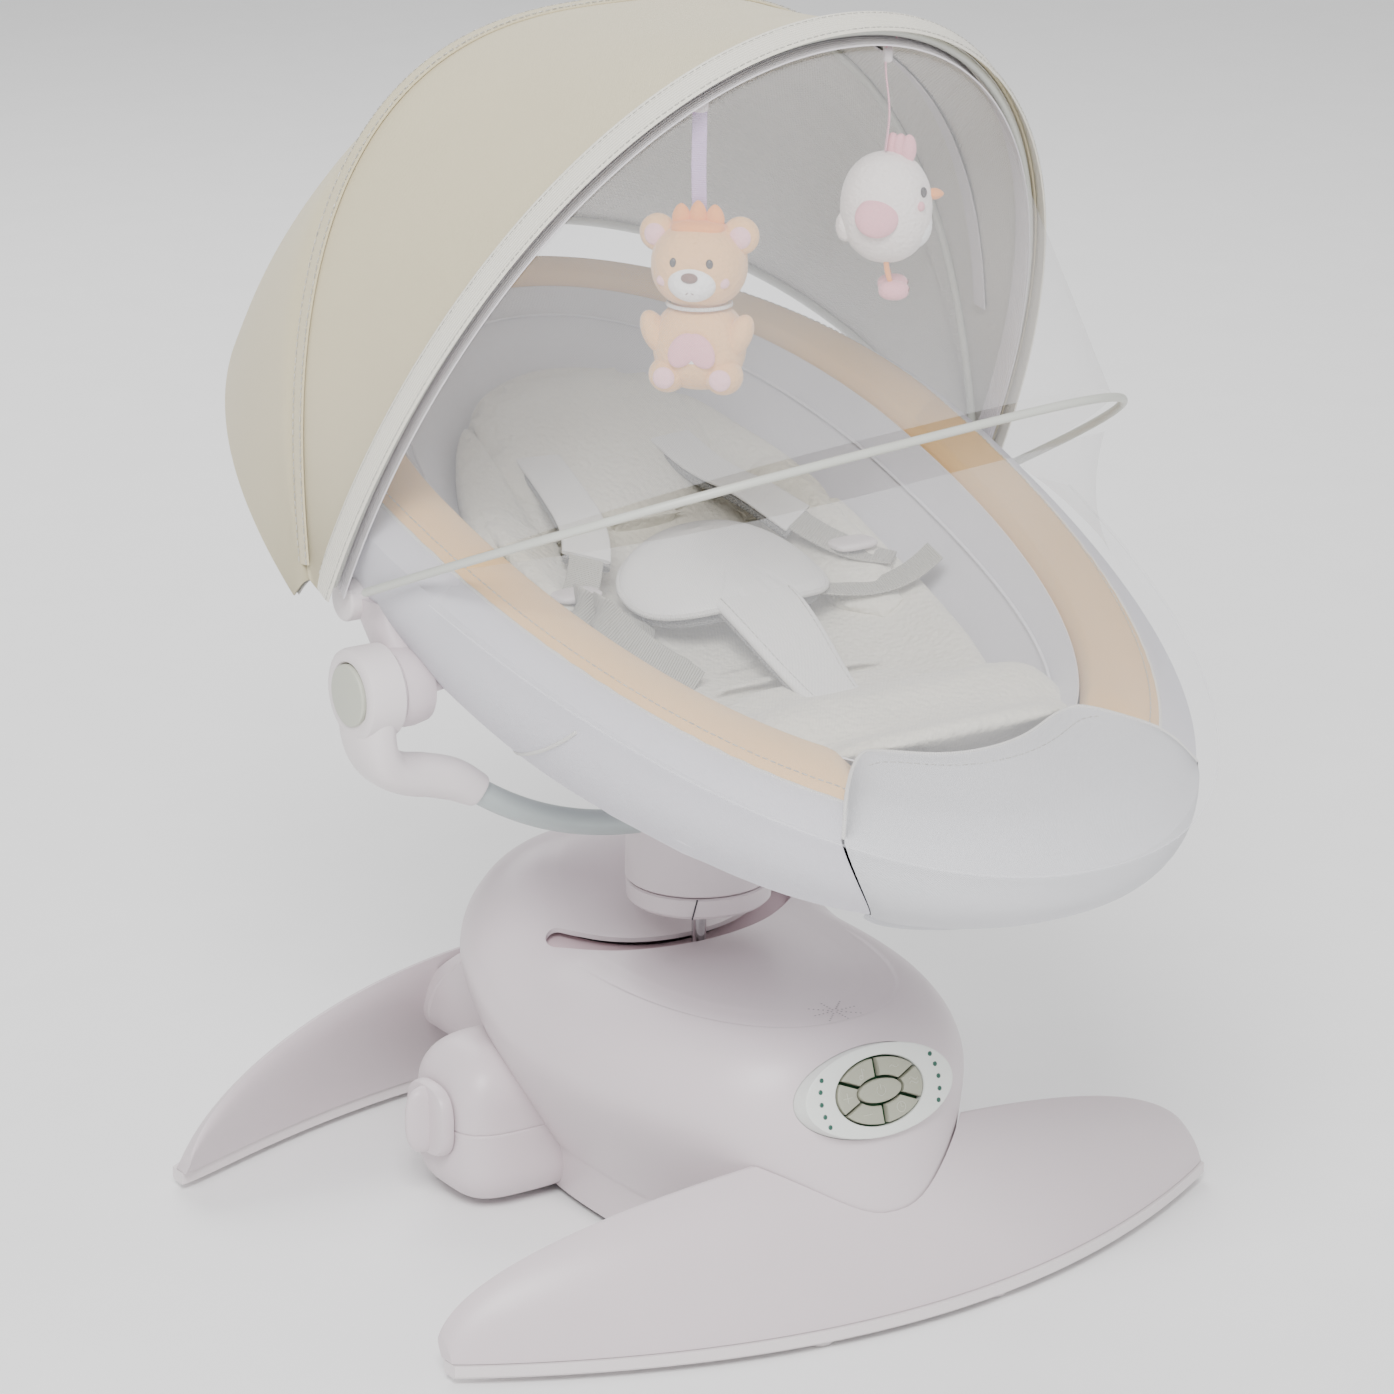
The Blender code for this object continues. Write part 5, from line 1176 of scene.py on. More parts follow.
# ---- seat -------------------------------------------------------------------------------------------
@dataclass
class Seat:
    """Upholstered bucket, rim, liner, foot apron and harness."""
    rim_half: float = 0.217
    rim_rear: float = 0.226
    rim_front: float = 0.430
    rim_y: float = 0.040
    rim_z: float = 0.452
    rim_slope: float = 0.30
    open_half: float = 0.158
    open_rear: float = 0.222
    open_front: float = 0.312
    open_y: float = 0.010
    depth: float = 0.138
    tub_depth: float = 0.098
    tub_y: float = -0.045
    liner_lift: float = 0.026

    def rim_height(self, y: Array) -> Array:
        """Leaning plane of the rim."""
        return self.rim_z + self.rim_slope * y

    def rim(self, angle: Array, grow: Array = 0.0) -> tuple[Array, Array]:
        """Outer outline: a superellipse, rounder behind than in front."""
        c, s = np.cos(angle), np.sin(angle)
        power = 2 / np.where(s > 0, 1.85, 2.15)
        reach = np.where(s > 0, self.rim_rear, self.rim_front) + grow
        return (self.rim_half + grow) * spow(c, power), self.rim_y + reach * spow(s, power)

    def opening(self, angle: Array, grow: Array = 0.0) -> tuple[Array, Array]:
        """Outline of the seat's opening."""
        c, s = np.cos(angle), np.sin(angle)
        reach = np.where(s > 0, self.open_rear, self.open_front) + grow
        return ((self.open_half + grow) * spow(c, 2 / 2.15),
                self.open_y + reach * spow(s, 2 / 2.15))

    def bucket(self, angle: Array, share: Array, grow: Array = 0.0) -> Array:
        """Outside of the bucket, from the rim (share 0) to the middle of the bottom (share 1)."""
        x, y = self.rim(angle, grow)
        turn = np.clip(share, 0, 1) * math.pi / 2
        width, drop = np.cos(turn) ** (2 / 2.3), np.sin(turn) ** (2 / 2.3)
        width = np.maximum(width, 0.004)
        x, y = x * width, 0.020 + (y - 0.020) * width
        nose = np.clip((0.020 - y) / 0.40, 0, 1)
        z = self.rim_height(y) - 0.0025 - (self.depth * (1 - 0.30 * nose ** 2) + grow) * drop
        return points_of(x, y, z)

    def tub(self, angle: Array, share: Array, lift: Array = 0.0, flare: float = 0.0) -> Array:
        """Inside of the bucket, from the opening (share 1) to the middle of its floor (share 0)."""
        x, y = self.opening(angle, flare)
        x, y = x * share, self.tub_y + (y - self.tub_y) * share
        return points_of(x, y, self.floor(y, share) + lift)

    def floor(self, y: Array, share: Array) -> Array:
        """Height of the tub's inner face at a share of the way to the opening."""
        along = 1 - ((y - self.tub_y) / 0.290) ** 2
        depth = self.tub_depth * (1 - np.abs(share) ** 4.5) * (0.2 + 0.8 * along)
        return self.rim_height(y) + 0.0015 - depth

    def liner_top(self, x: Array, y: Array, lift: Array = 0.0) -> Array:
        """Points on the liner's upper face."""
        reach = np.where(y > self.tub_y, 0.277, 0.257)
        share = np.clip(np.maximum(np.abs(x) / self.open_half, np.abs(y - self.tub_y) / reach), 0, 1)
        return points_of(x, y, self.floor(y, share) + self.liner_lift + 0.003 + lift)

    def build_skin(self) -> None:
        """Outer cloth with its piped seam, the padded rim band, and the inner wall."""
        angle = np.linspace(0, 2 * math.pi, 241)[None]
        share = np.concatenate((np.linspace(0, 0.16, 9), np.linspace(0.18, 0.995, 42)))[:, None]
        grid = self.bucket(angle, share)
        crease = bell(share, 0.50, 0.012) * 0.0016
        grid[..., 2] += crease
        ripple = 0.0011 * np.sin(9 * angle + 5 * share) * np.sin(share * math.pi) ** 2
        grid[..., 2] -= ripple
        skin = surface("seat_outer_skin", grid, Finish.OUTER, "seat", wall=0.0016, side=-1)
        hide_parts("seat_cover", "seat_frame_tube")
        where = np.linspace(0, 1, 34)[:, None]
        front = ease((0.04 - self.rim(angle)[1]) / 0.36)
        outer_x, outer_y = self.rim(angle, 0.0)
        inner_x, inner_y = self.opening(angle, 0.003)
        middle = 0.30 + 0.02 * front
        x, y = mix(outer_x, inner_x, where * middle), mix(outer_y, inner_y, where * middle)
        crown = 0.0105 * np.sin(np.clip(where, 0, 1) * math.pi / 2) ** 0.9
        crown = crown * (1 - 0.5 * ease((31 - np.abs(np.degrees(angle) - 270)) / 5))
        turned = points_of(x, y, self.rim_height(y) - 0.0025 + crown)
        shoulder = surface("rim_outer_roll", turned, Finish.OUTER, "seat", wall=0.0012, side=-1)
        share_in = mix(middle - 0.01, 1.0, where)
        x, y = mix(outer_x, inner_x, share_in), mix(outer_y, inner_y, share_in)
        crown = 0.0078 + 0.0085 * np.sin(math.pi * where ** 0.9) ** 0.65
        crown = crown - 0.010 * ease((where - 0.86) / 0.14)
        under = ease((31 - np.abs(np.degrees(angle) - 270)) / 5)
        crown = crown * (1 - 0.75 * under)
        pucker = 0.0004 * np.sin(110 * angle) * bell(where, 0.03, 0.08)
        band_grid = points_of(x, y, self.rim_height(y) - 0.0005 + crown + pucker)
        band = surface("rim_padded_band", band_grid, Finish.PEACH, "seat", wall=0.0012, side=-1)
        seam = band_grid[0] + (0, 0, 0.0006)
        surface("rim_piping", rod(seam, 0.0011, 10, loop=True), Finish.PIPING, "seat", sharp=80)
        edge = band_grid[4] + (0, 0, 0.0003)
        stitches("rim_band_stitches", edge, (0, 0, 1), "seat", 0.0048)
        share = np.concatenate((np.linspace(1.015, 0.97, 6), np.linspace(0.965, 0.55, 30)))[:, None]
        wall = self.tub(angle, np.minimum(share, 1.0), 0.0025, 0.0018)
        surface("tub_wall", wall, Finish.WALL, "seat", wall=0.0010, side=-1)
        level = 0.935
        seam = self.tub(np.linspace(0, 2 * math.pi, 241), np.array(level), 0.0042)
        surface("tub_wall_piping", rod(seam, 0.0010, 10, loop=True), Finish.WALL, "seat", sharp=80)
        floor = self.tub(angle, np.concatenate((np.linspace(0.56, 0.02, 16),))[:, None], 0.0015)
        surface("tub_floor", floor, Finish.WALL, "seat", wall=0.0010, side=-1)

    def build_seam(self) -> None:
        """Raised side seams and hem of the outer cloth."""
        turn = np.linspace(0, 1, 60)
        for side, word in SIDES:
            angle = -math.pi / 2 + side * (math.radians(62) + 0.35 * turn)
            seam = self.bucket(angle, 0.05 + 0.62 * turn) + (0, 0, -0.0006)
            surface("bucket_seam_" + word, rod(seam, 0.0012, 10, reference=(0, 1, 0)),
                    Finish.PIPING, "seat", closed=True, sharp=80)
        low = self.bucket(np.linspace(0, 2 * math.pi, 241), np.array(0.52)) + (0, 0, -0.0004)
        surface("bucket_hem_piping", rod(low, 0.0010, 10, loop=True), Finish.OUTER, "seat", sharp=80)

    def build_liner(self) -> None:
        """Thick plush liner with quilted channels."""
        angle = np.linspace(0, 2 * math.pi, 181)[None]
        share = np.sin(np.linspace(0.01, 1, 46) * math.pi / 2)[:, None] * 0.80
        x, y = self.opening(angle)
        x, y = x * share, self.tub_y + (y - self.tub_y) * share
        edge = np.clip((0.80 - share) / 0.16, 0, 1)
        top = 0.010 + (self.liner_lift - 0.006) * np.sqrt(1 - (1 - edge) ** 2)
        channel = 0.0050 * bell(y, 0.040, 0.005) + 0.0040 * bell(y, 0.150, 0.005)
        channel = channel + 0.0050 * bell(y, -0.165, 0.005)
        side = 0.0045 * bell(np.abs(x), 0.070, 0.005) * ease((y + 0.02) / 0.03)
        soft = 0.0010 * np.sin(90 * x + 2) * np.sin(74 * y)
        z = self.floor(y, share) + top - channel - side + soft
        upper = points_of(x, y, z)
        under = self.tub(angle, share, 0.003)
        pad = surface("plush_liner", np.concatenate((upper, under[::-1])), Finish.FLEECE, "seat",
                      closed=True, sharp=80)
        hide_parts("seat_liner")

    def pad_on_liner(self, name: str, outline: Array, thick: float, finish: object, lift: float = 0.0,
                     swell: float = 0.003) -> bpy.types.Object:
        """Soft pad that follows the liner's upper face."""
        pad = outline_pad(outline, thick)
        ground = self.liner_top(pad[..., 0], pad[..., 1], lift)
        ground[..., 2] += pad[..., 2] + thick / 2
        piece = surface(name, ground, finish, "seat", closed=True, sharp=80)
        puff(piece, 0.005, swell)
        dress(piece, finish, "seat", 80)
        return piece

    def build_pads(self) -> None:
        """Head cushion, thigh cushion and the cushions at both sides."""
        c, s = circle(100)
        head = np.stack((0.082 * spow(c, 0.72), 0.118 + 0.044 * spow(s, 0.72)), -1)
        self.pad_on_liner("head_cushion", head, 0.014, Finish.FLEECE, -0.004)
        thigh = outline_pad(np.stack((0.106 * spow(c, 0.70), -0.212 + 0.076 * spow(s, 0.80)), -1), 0.026, 0.5)
        ground = self.liner_top(thigh[..., 0], thigh[..., 1], -0.004)
        shoulder = np.maximum(np.abs(thigh[..., 0]) - 0.06, 0)
        level = self.rim_height(thigh[..., 1]) - 0.012 - 0.9 * shoulder ** 2
        lifted = mix(ground[..., 2], level, ease((-0.150 - thigh[..., 1]) / 0.075))
        ground[..., 2] = np.maximum(lifted, ground[..., 2]) + thigh[..., 2]
        cushion = surface("thigh_cushion", ground, Finish.FLEECE, "seat", closed=True, sharp=80)
        puff(cushion, 0.005, 0.003)
        dress(cushion, Finish.FLEECE, "seat", 80)
        for side, word in SIDES:
            flank = np.stack((side * 0.098 + 0.021 * spow(c, 0.8), 0.010 + 0.080 * spow(s, 0.8)), -1)
            self.pad_on_liner(word + "_side_cushion", flank, 0.014, Finish.FLEECE, -0.004)

    def build_apron(self) -> None:
        """Foot apron over the front corner, with curved piped side seams."""
        span = np.linspace(-1, 1, 101)
        turn = np.radians(270 + 32 * span)[None]
        share = np.abs(span) ** 8
        outer_x, outer_y = self.rim(turn, 0.0)
        inner_x, inner_y = self.opening(turn)
        rows = []
        for grade in np.linspace(1.08, 0.02, 24):
            reach = grade * (1 - share)[None]
            x, y = mix(outer_x, inner_x, reach), mix(outer_y, inner_y, reach)
            z = self.rim_height(y) + 0.0125 * np.sin(np.clip(reach * 2.6, 0, 1) * math.pi / 2) ** 0.8
            z = z - 0.0030 * ease((reach - 0.90) / 0.18) + 0.0010 - 0.0015
            rows.append(points_of(x, y, z + 0.0004 * np.sin(40 * x))[0])
        fall = np.linspace(0, 0.42, 18)
        for place in fall:
            grow = 0.0030 * (1 - np.abs(span) ** 16) + 0.0002
            narrow = np.radians(270 + (32 - 20 * place) * span)
            row = self.bucket(narrow, np.array(place), grow)
            rows.append(row)
        grid = np.stack(rows)
        piece = surface("foot_apron_cloth", grid, Finish.APRON, "seat", wall=0.0012, side=0)
        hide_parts("foot_apron")
        for column, word in ((0, "left"), (-1, "right")):
            line = through(grid[:, column], np.linspace(0, len(grid) - 1, 90)) + (0, 0, 0.0006)
            surface(word + "_apron_piping", rod(line, 0.0011, 10, reference=(1, 0, 0)), Finish.APRON, "seat",
                    closed=True, sharp=80)
        hem = grid[-1] + (0, 0, -0.0002)
        surface("apron_hem", strip(hem, 0.008, 0.0020, (0, 0, 1)), Finish.APRON, "seat", closed=True,
                sharp=80)
        lip = grid[0] + (0, 0, 0.0004)
        surface("apron_top_piping", rod(lip, 0.0012, 10), Finish.PIPING, "seat", closed=True, sharp=80)
        inner = grid[4, 10:-10] + (0, 0, 0.0008)
        stitches("apron_stitches", inner, (0, 0, 1), "seat", 0.0045)

    def build_harness(self) -> None:
        """Shoulder straps on mesh-edged pads, the piped chest pad, crotch and waist straps."""
        steps = ((0.046, 0.128, 0.001), (0.048, 0.100, 0.012), (0.052, 0.070, 0.022), (0.060, 0.040, 0.030),
                 (0.070, 0.014, 0.030), (0.086, -0.008, 0.022), (0.104, -0.026, 0.010),
                 (0.116, -0.038, 0.003))
        for side, word in SIDES:
            x, y, lift = through(steps, np.linspace(0, 7, 70)).T
            path = self.liner_top(side * x, y, lift)
            wave = 0.0006 * np.sin(np.linspace(0, 16, 70))
            path[:, 2] += wave
            belt = surface(word + "_shoulder_webbing", strip(path, 0.021, 0.0018), Finish.WEBBING, "seat",
                           closed=True, sharp=60)
            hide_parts(word + "_harness_strap")
            sleeve = path[8:44] + (0, 0, -0.0035)
            surface(word + "_strap_mesh", strip(sleeve, 0.029, 0.0055), Finish.SPACER, "seat",
                    closed=True, sharp=60)
            cover = path[8:44] + (0, 0, 0.0012)
            surface(word + "_strap_cover", strip(cover, 0.030, 0.0034), Finish.PAD, "seat",
                    closed=True, sharp=60)
            c, s = circle(40)
            mouth = self.liner_top(side * 0.046 + 0.017 * spow(c, 0.5), 0.131 + 0.0035 * spow(s, 0.5), 0.0025)
            surface(word + "_strap_slot", rod(mouth, 0.0016, 8, loop=True), Finish.SPACER, "seat", sharp=80)
            tongue = ellipsoid((0.0150, 0.0105, 0.0028), 3.2, 32)
            spot = self.liner_top(np.array(side * 0.098), np.array(-0.020), 0.0175)
            surface(word + "_strap_slider", tongue + spot, Finish.HEAD, "seat", closed=True)
        c, s = circle(140)
        flat = np.where(s > 0, 0.036, 0.040)
        shape = np.stack((0.067 * spow(c, 0.80), -0.026 + flat * spow(s, 0.86)), -1)
        pad = outline_pad(shape, 0.016, 0.42)
        rise = self.liner_top(pad[..., 0] * 0.55, pad[..., 1], 0.034)
        rise[..., 0] = pad[..., 0]
        arch = -0.012 * (pad[..., 0] / 0.068) ** 2
        fan = np.zeros(pad.shape[:2])
        for lean in (-0.9, -0.45, 0.0, 0.45, 0.9):
            line = pad[..., 0] - lean * (-(pad[..., 1] + 0.030)) * 0.9
            fan = fan + bell(line, 0.0, 0.0014) * ease((-0.036 - pad[..., 1]) / 0.006)
        rise[..., 2] += pad[..., 2] + arch - 0.0016 * fan * (pad[..., 2] > 0)
        piece = surface("chest_pad_cover", rise, Finish.PAD, "seat", closed=True, sharp=80)
        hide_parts("chest_pad")
        ring = shape * 1.0
        edge = self.liner_top(ring[:, 0] * 0.55, ring[:, 1], 0.034)
        edge[:, 0] = ring[:, 0]
        edge[:, 2] += -0.012 * (ring[:, 0] / 0.068) ** 2
        surface("chest_pad_piping", rod(edge, 0.0018, 12, loop=True), Finish.PIPING, "seat", sharp=80)
        under = outline_pad(shape * (0.93, 0.93) + (0, -0.002), 0.008, 0.3, 10)
        low = self.liner_top(under[..., 0] * 0.55, under[..., 1], 0.026)
        low[..., 0] = under[..., 0]
        low[..., 2] += under[..., 2] - 0.012 * (under[..., 0] / 0.068) ** 2
        surface("chest_pad_mesh", low, Finish.SPACER, "seat", closed=True, sharp=80)
        place = np.linspace(0, 1, 50)
        crotch = self.liner_top(0 * place, mix(-0.060, -0.172, place),
                                mix(0.030, 0.004, ease(place * 0.95)) + 0.004 * (1 - place))
        width = mix(0.056, 0.034, ease(place))
        c, s = circle(28)
        for name, finish, thick, drop, grow in (("crotch_pad_cover", Finish.PAD, 0.0070, 0.0, 1.0),
                                                ("crotch_pad_mesh", Finish.SPACER, 0.0060, -0.0042, 0.96)):
            outline = np.stack(np.broadcast_arrays(thick / 2 * spow(s, 0.6)[None],
                                                   width[:, None] / 2 * grow * spow(c, 0.4)[None]), -1)
            piece = surface(name, sweep(crotch + (0, 0, drop), outline, (1, 0, 0)), finish, "seat",
                            closed=True, sharp=60)
            if finish is Finish.PAD:
                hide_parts("crotch_strap")
        for side in (-1, 1):
            line = crotch + (0, 0, 0.0034)
            line[:, 0] = side * (width / 2 - 0.0042)
            stitches(f"crotch_stitches_{'left' if side < 0 else 'right'}", line, (0, 0, 1), "seat", 0.004)
        for number, (reach, lift) in enumerate(((0.118, 0.018), (0.112, 0.024))):
            turn = np.linspace(0, 1, 50)
            x = -mix(0.060, reach, np.sin(turn * math.pi))
            y = mix(-0.030, -0.078, turn) - 0.012 * number
            loop = self.liner_top(x, y, 0.004 + lift * np.sin(turn * math.pi) ** 0.8)
            surface(f"waist_strap_loop_{number}", strip(loop, 0.019, 0.0018, (0, 0.25, 1.0)), Finish.WEBBING,
                    "seat", closed=True, sharp=60)
        turn = np.linspace(0, 1, 40)
        right = self.liner_top(mix(0.058, 0.128, turn), mix(-0.040, -0.064, turn), 0.006 + 0.012 * (1 - turn))
        surface("waist_strap_right", strip(right, 0.020, 0.0018, (0, 1, 0.1)), Finish.WEBBING, "seat",
                closed=True, sharp=60)

    def build_hinges(self) -> None:
        """Side plates that hang the seat between the brackets, with their canopy clips."""
        for side, word in SIDES:
            place = np.linspace(0, 1, 30)
            c, s = circle(40)
            y = mix(0.0, 0.030, ease(place))
            z = mix(0.366, 0.412, place)
            half_y, half_x = mix(0.0205, 0.018, place), mix(0.0150, 0.0160, place)
            grid = points_of(side * (0.1975 + half_x[:, None] * spow(s, 0.6)),
                             y[:, None] + half_y[:, None] * spow(c, 0.7),
                             z[:, None] + 0 * c)
            web = surface(word + "_hinge_web", grid, Finish.SHELL, "seat", closed=True, sharp=50)
            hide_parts(word + "_seat_hinge")
            clip = rounded_lathe(0.0125, 0.0, 0.030, 0.0022)
            surface(word + "_canopy_clip", lathe(clip, (side * 0.1905, 0.042, 0.409), (side, 0, 0), 48),
                    Finish.HEAD, "seat", closed=True)

    def build(self) -> None:
        """Build the whole seat."""
        self.build_skin()
        self.build_seam()
        self.build_liner()
        self.build_pads()
        self.build_apron()
        self.build_harness()
        self.build_hinges()


@dataclass(frozen=True)
class BowSize:
    """One bow: its width, reach, angle above the front, squareness and droop."""
    half: float
    reach: float
    angle: float
    exponent: float
    droop: float = 0.0

    def at(self, turn: Array, grow: Array = 0.0) -> Array:
        """Superellipse arc from side to side, tilted about the pivot line."""
        c, s = np.cos(turn * math.pi), np.sin(turn * math.pi)
        x = (self.half + grow) * spow(c, 2 / self.exponent)
        reach = (self.reach + grow) * spow(s, 2 / self.exponent)
        lift = math.radians(self.angle)
        sag = self.droop * x / self.half * np.minimum(reach / self.reach, 1)
        return points_of(x, PIVOT[1] - reach * math.cos(lift), PIVOT[2] + reach * math.sin(lift) + sag)


@dataclass
class Canopy:
    """Sun canopy on three bows, the net bow and both nets."""
    net: BowSize = BowSize(0.2235, 0.300, 25, 3.2, 0.014)
    front: BowSize = BowSize(0.2295, 0.392, 60.7, 2.05)
    mid: BowSize = BowSize(0.2355, 0.320, 98, 2.7)
    rear: BowSize = BowSize(0.2415, 0.286, 149, 2.4)
    radius: float = 0.0026

    def panel(self, first: BowSize, second: BowSize, inset: float, belly: float, shares: tuple,
              rows: int = 46, sag: float = 0.0, notch: float = 0.0) -> Array:
        """Sheet between two bows: straight lerp, bellied outwards or sagging between them."""
        turn = 0.5 - 0.5 * np.cos(np.linspace(0.155, math.pi - 0.155, 180))
        share = np.linspace(*shares, rows)[:, None, None]
        low, high = first.at(turn, inset), second.at(turn, inset)
        grid = mix(low[None], high[None], share)
        away = grid - PIVOT
        away /= np.linalg.norm(away, axis=2, keepdims=True)
        arch = np.sin(math.pi * share) * np.sin(math.pi * turn)[None, :, None]
        tuck = np.sin(math.pi * share) ** 2 * np.sin(turn * 34)[None, :, None] * 0.0007
        dip = notch * bell(share, 0.90, 0.09) * np.sin(math.pi * turn)[None, :, None] ** 0.4
        return grid + away * ((belly - sag) * arch + tuck - dip)

    def draped(self, name: str, node: str, grid: Array, finish: object, lining: object,
               bodies: tuple) -> None:
        """Outer cloth and lining of one panel, left on no body."""
        outer = surface(name + "_cloth", grid, finish, "", wall=0.0011, side=0)
        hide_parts(node)
        inner = surface(name + "_lining", grid * (0.994, 1, 1) + self.inward(grid), lining, "",
                        wall=0.0006, side=0)
        for piece in (outer, inner):
            self.spread(piece, bodies)

    @staticmethod
    def inward(grid: Array) -> Array:
        """Shift that carries a canopy sheet's copy a little towards the seat."""
        away = grid - PIVOT
        return -away / np.linalg.norm(away, axis=2, keepdims=True) * 0.0016

    def spread(self, piece: bpy.types.Object, bodies: tuple) -> None:
        """Bake a sheet's placement into its mesh; it is not blended between its bows."""
        low, high = bodies[2], bodies[3]
        middle = low.at(np.array(0.5)) + POST_PLACE
        end = high.at(np.array(0.5)) + POST_PLACE
        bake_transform(piece)

    def bow(self, size: BowSize, node: str, name: str, body: str, finish: object = None) -> None:
        """Bow tube with domed ends."""
        turn = 0.5 - 0.488 * np.cos(np.linspace(0, math.pi, 160))
        tube = rod(size.at(turn), self.radius, 14, reference=(0, math.sin(math.radians(size.angle)),
                                                               math.cos(math.radians(size.angle))))
        piece = surface(name, tube, finish or Finish.BOW, body, closed=True, sharp=60)
        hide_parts(node)

    def build(self) -> None:
        """Build bows, cloths, binding, inner seams and nets."""
        self.bow(self.front, "canopy_front_bow", "front_bow_tube", "canopy_front")
        self.bow(self.mid, "canopy_mid_bow", "mid_bow_tube", "canopy_mid")
        self.bow(self.rear, "canopy_rear_bow", "rear_bow_tube", "seat")
        self.bow(self.net, "net_bow", "net_bow_tube", "net")
        rear = self.panel(self.rear, self.mid, 0.0050, 0.012, (0.0, 1.0), notch=0.011)
        self.draped("canopy_rear", "canopy_rear_fabric", rear, Finish.CANOPY, Finish.LINING,
                    ("seat", "canopy_mid", self.rear, self.mid))
        front = self.panel(self.mid, self.front, 0.0050, 0.0, (0.0, 1.0), sag=0.0035)
        self.draped("canopy_front", "canopy_front_fabric", front, Finish.CANOPY, Finish.LINING,
                    ("canopy_mid", "canopy_front", self.mid, self.front))
        turn = np.linspace(0.010, 0.990, 220)
        mid_seam = self.mid.at(turn, 0.0066)
        surface("mid_seam_tape", strip(mid_seam, 0.010, 0.0016, (0, 1, 0.1)), Finish.CANOPY, "canopy_mid",
                closed=True, sharp=70)
        for shift in (-0.0042, 0.0042):
            line = self.mid.at(turn, 0.0078) + (0, shift, 0)
            word = "front" if shift < 0 else "rear"
            stitches("mid_stitches_" + word, line, (0, 0, 1), "canopy_mid", 0.0046)
        lean = math.radians(self.front.angle)
        square = np.array([0, math.sin(lean), math.cos(lean)])
        place = np.linspace(-1, 1, 26)[:, None]
        turns = np.linspace(0.008, 0.992, 240)[None]
        for name, finish, width, grow, bodies in (("edge_binding", Finish.CREAM, 0.0085, 0.0064, 1),
                                                  ("edge_band", Finish.BAND, 0.0080, -0.0040, -1)):
            base = self.front.at(turns, grow)
            roll = np.sqrt(np.maximum(1 - place ** 2, 0)) * 0.0012 * bodies
            away = base - PIVOT
            away = away / np.linalg.norm(away, axis=2, keepdims=True)
            grid = base + square * (place * width)[..., None] + away * roll[..., None]
            surface(name, grid, finish, "canopy_front", wall=0.0009, side=0)
        for shift in (-0.0068, 0.0062):
            line = self.front.at(turns[0], 0.0078) + square * shift
            stitches(f"binding_stitches_{'outer' if shift < 0 else 'inner'}", line, (0, 0, 1), "canopy_front",
                     0.0042)
        across = np.linspace(0.10, 0.90, 80)
        tape = mix(self.mid.at(across, -0.002), self.front.at(across, -0.002), 0.48)
        tape_piece = surface("lining_tape", strip(tape, 0.012, 0.0012, (0, 1, 0.2)), Finish.BAND, "",
                             closed=True, sharp=70)
        self.spread(tape_piece, ("canopy_mid", "canopy_front", self.mid, self.front))
        self.nets()

    def nets(self) -> None:
        """Upper net between front bow and net bow, and the curtain from the net bow to the rim."""
        upper = self.panel(self.front, self.net, -0.0045, 0.0, (0.035, 0.965), rows=40)
        piece = surface("upper_net_sheet", upper, Finish.NET, "")
        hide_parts("upper_net")
        self.spread(piece, ("canopy_front", "net", self.front, self.net))
        turn = np.linspace(0.07, 0.93, 150)
        top = self.net.at(turn, -0.0052)
        x, y = Seat().rim(-math.pi * turn, 0.013)
        y = np.minimum(y, 0.012)
        hem = points_of(x, y, Seat().rim_height(y) + 0.004)
        share = np.linspace(0.11, 1, 40)[:, None, None]
        fold = 0.0010 * np.sin(turn * 70)[None, :, None] * share
        curtain = mix(top[None], hem[None], share)
        arch = np.sin(math.pi * share)
        curtain[..., 1:2] += 0.045 * arch * np.sin(turn * math.pi)[None, :, None] + fold
        curtain[..., 0:1] *= 1 - 0.10 * arch
        piece = surface("lower_net_sheet", curtain, Finish.NET, "net")
        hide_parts("lower_net")
        surface("net_hem", rod(hem, 0.0007, 8, reference=(0, 0, 1)), Finish.NET, "net", closed=True, sharp=80)


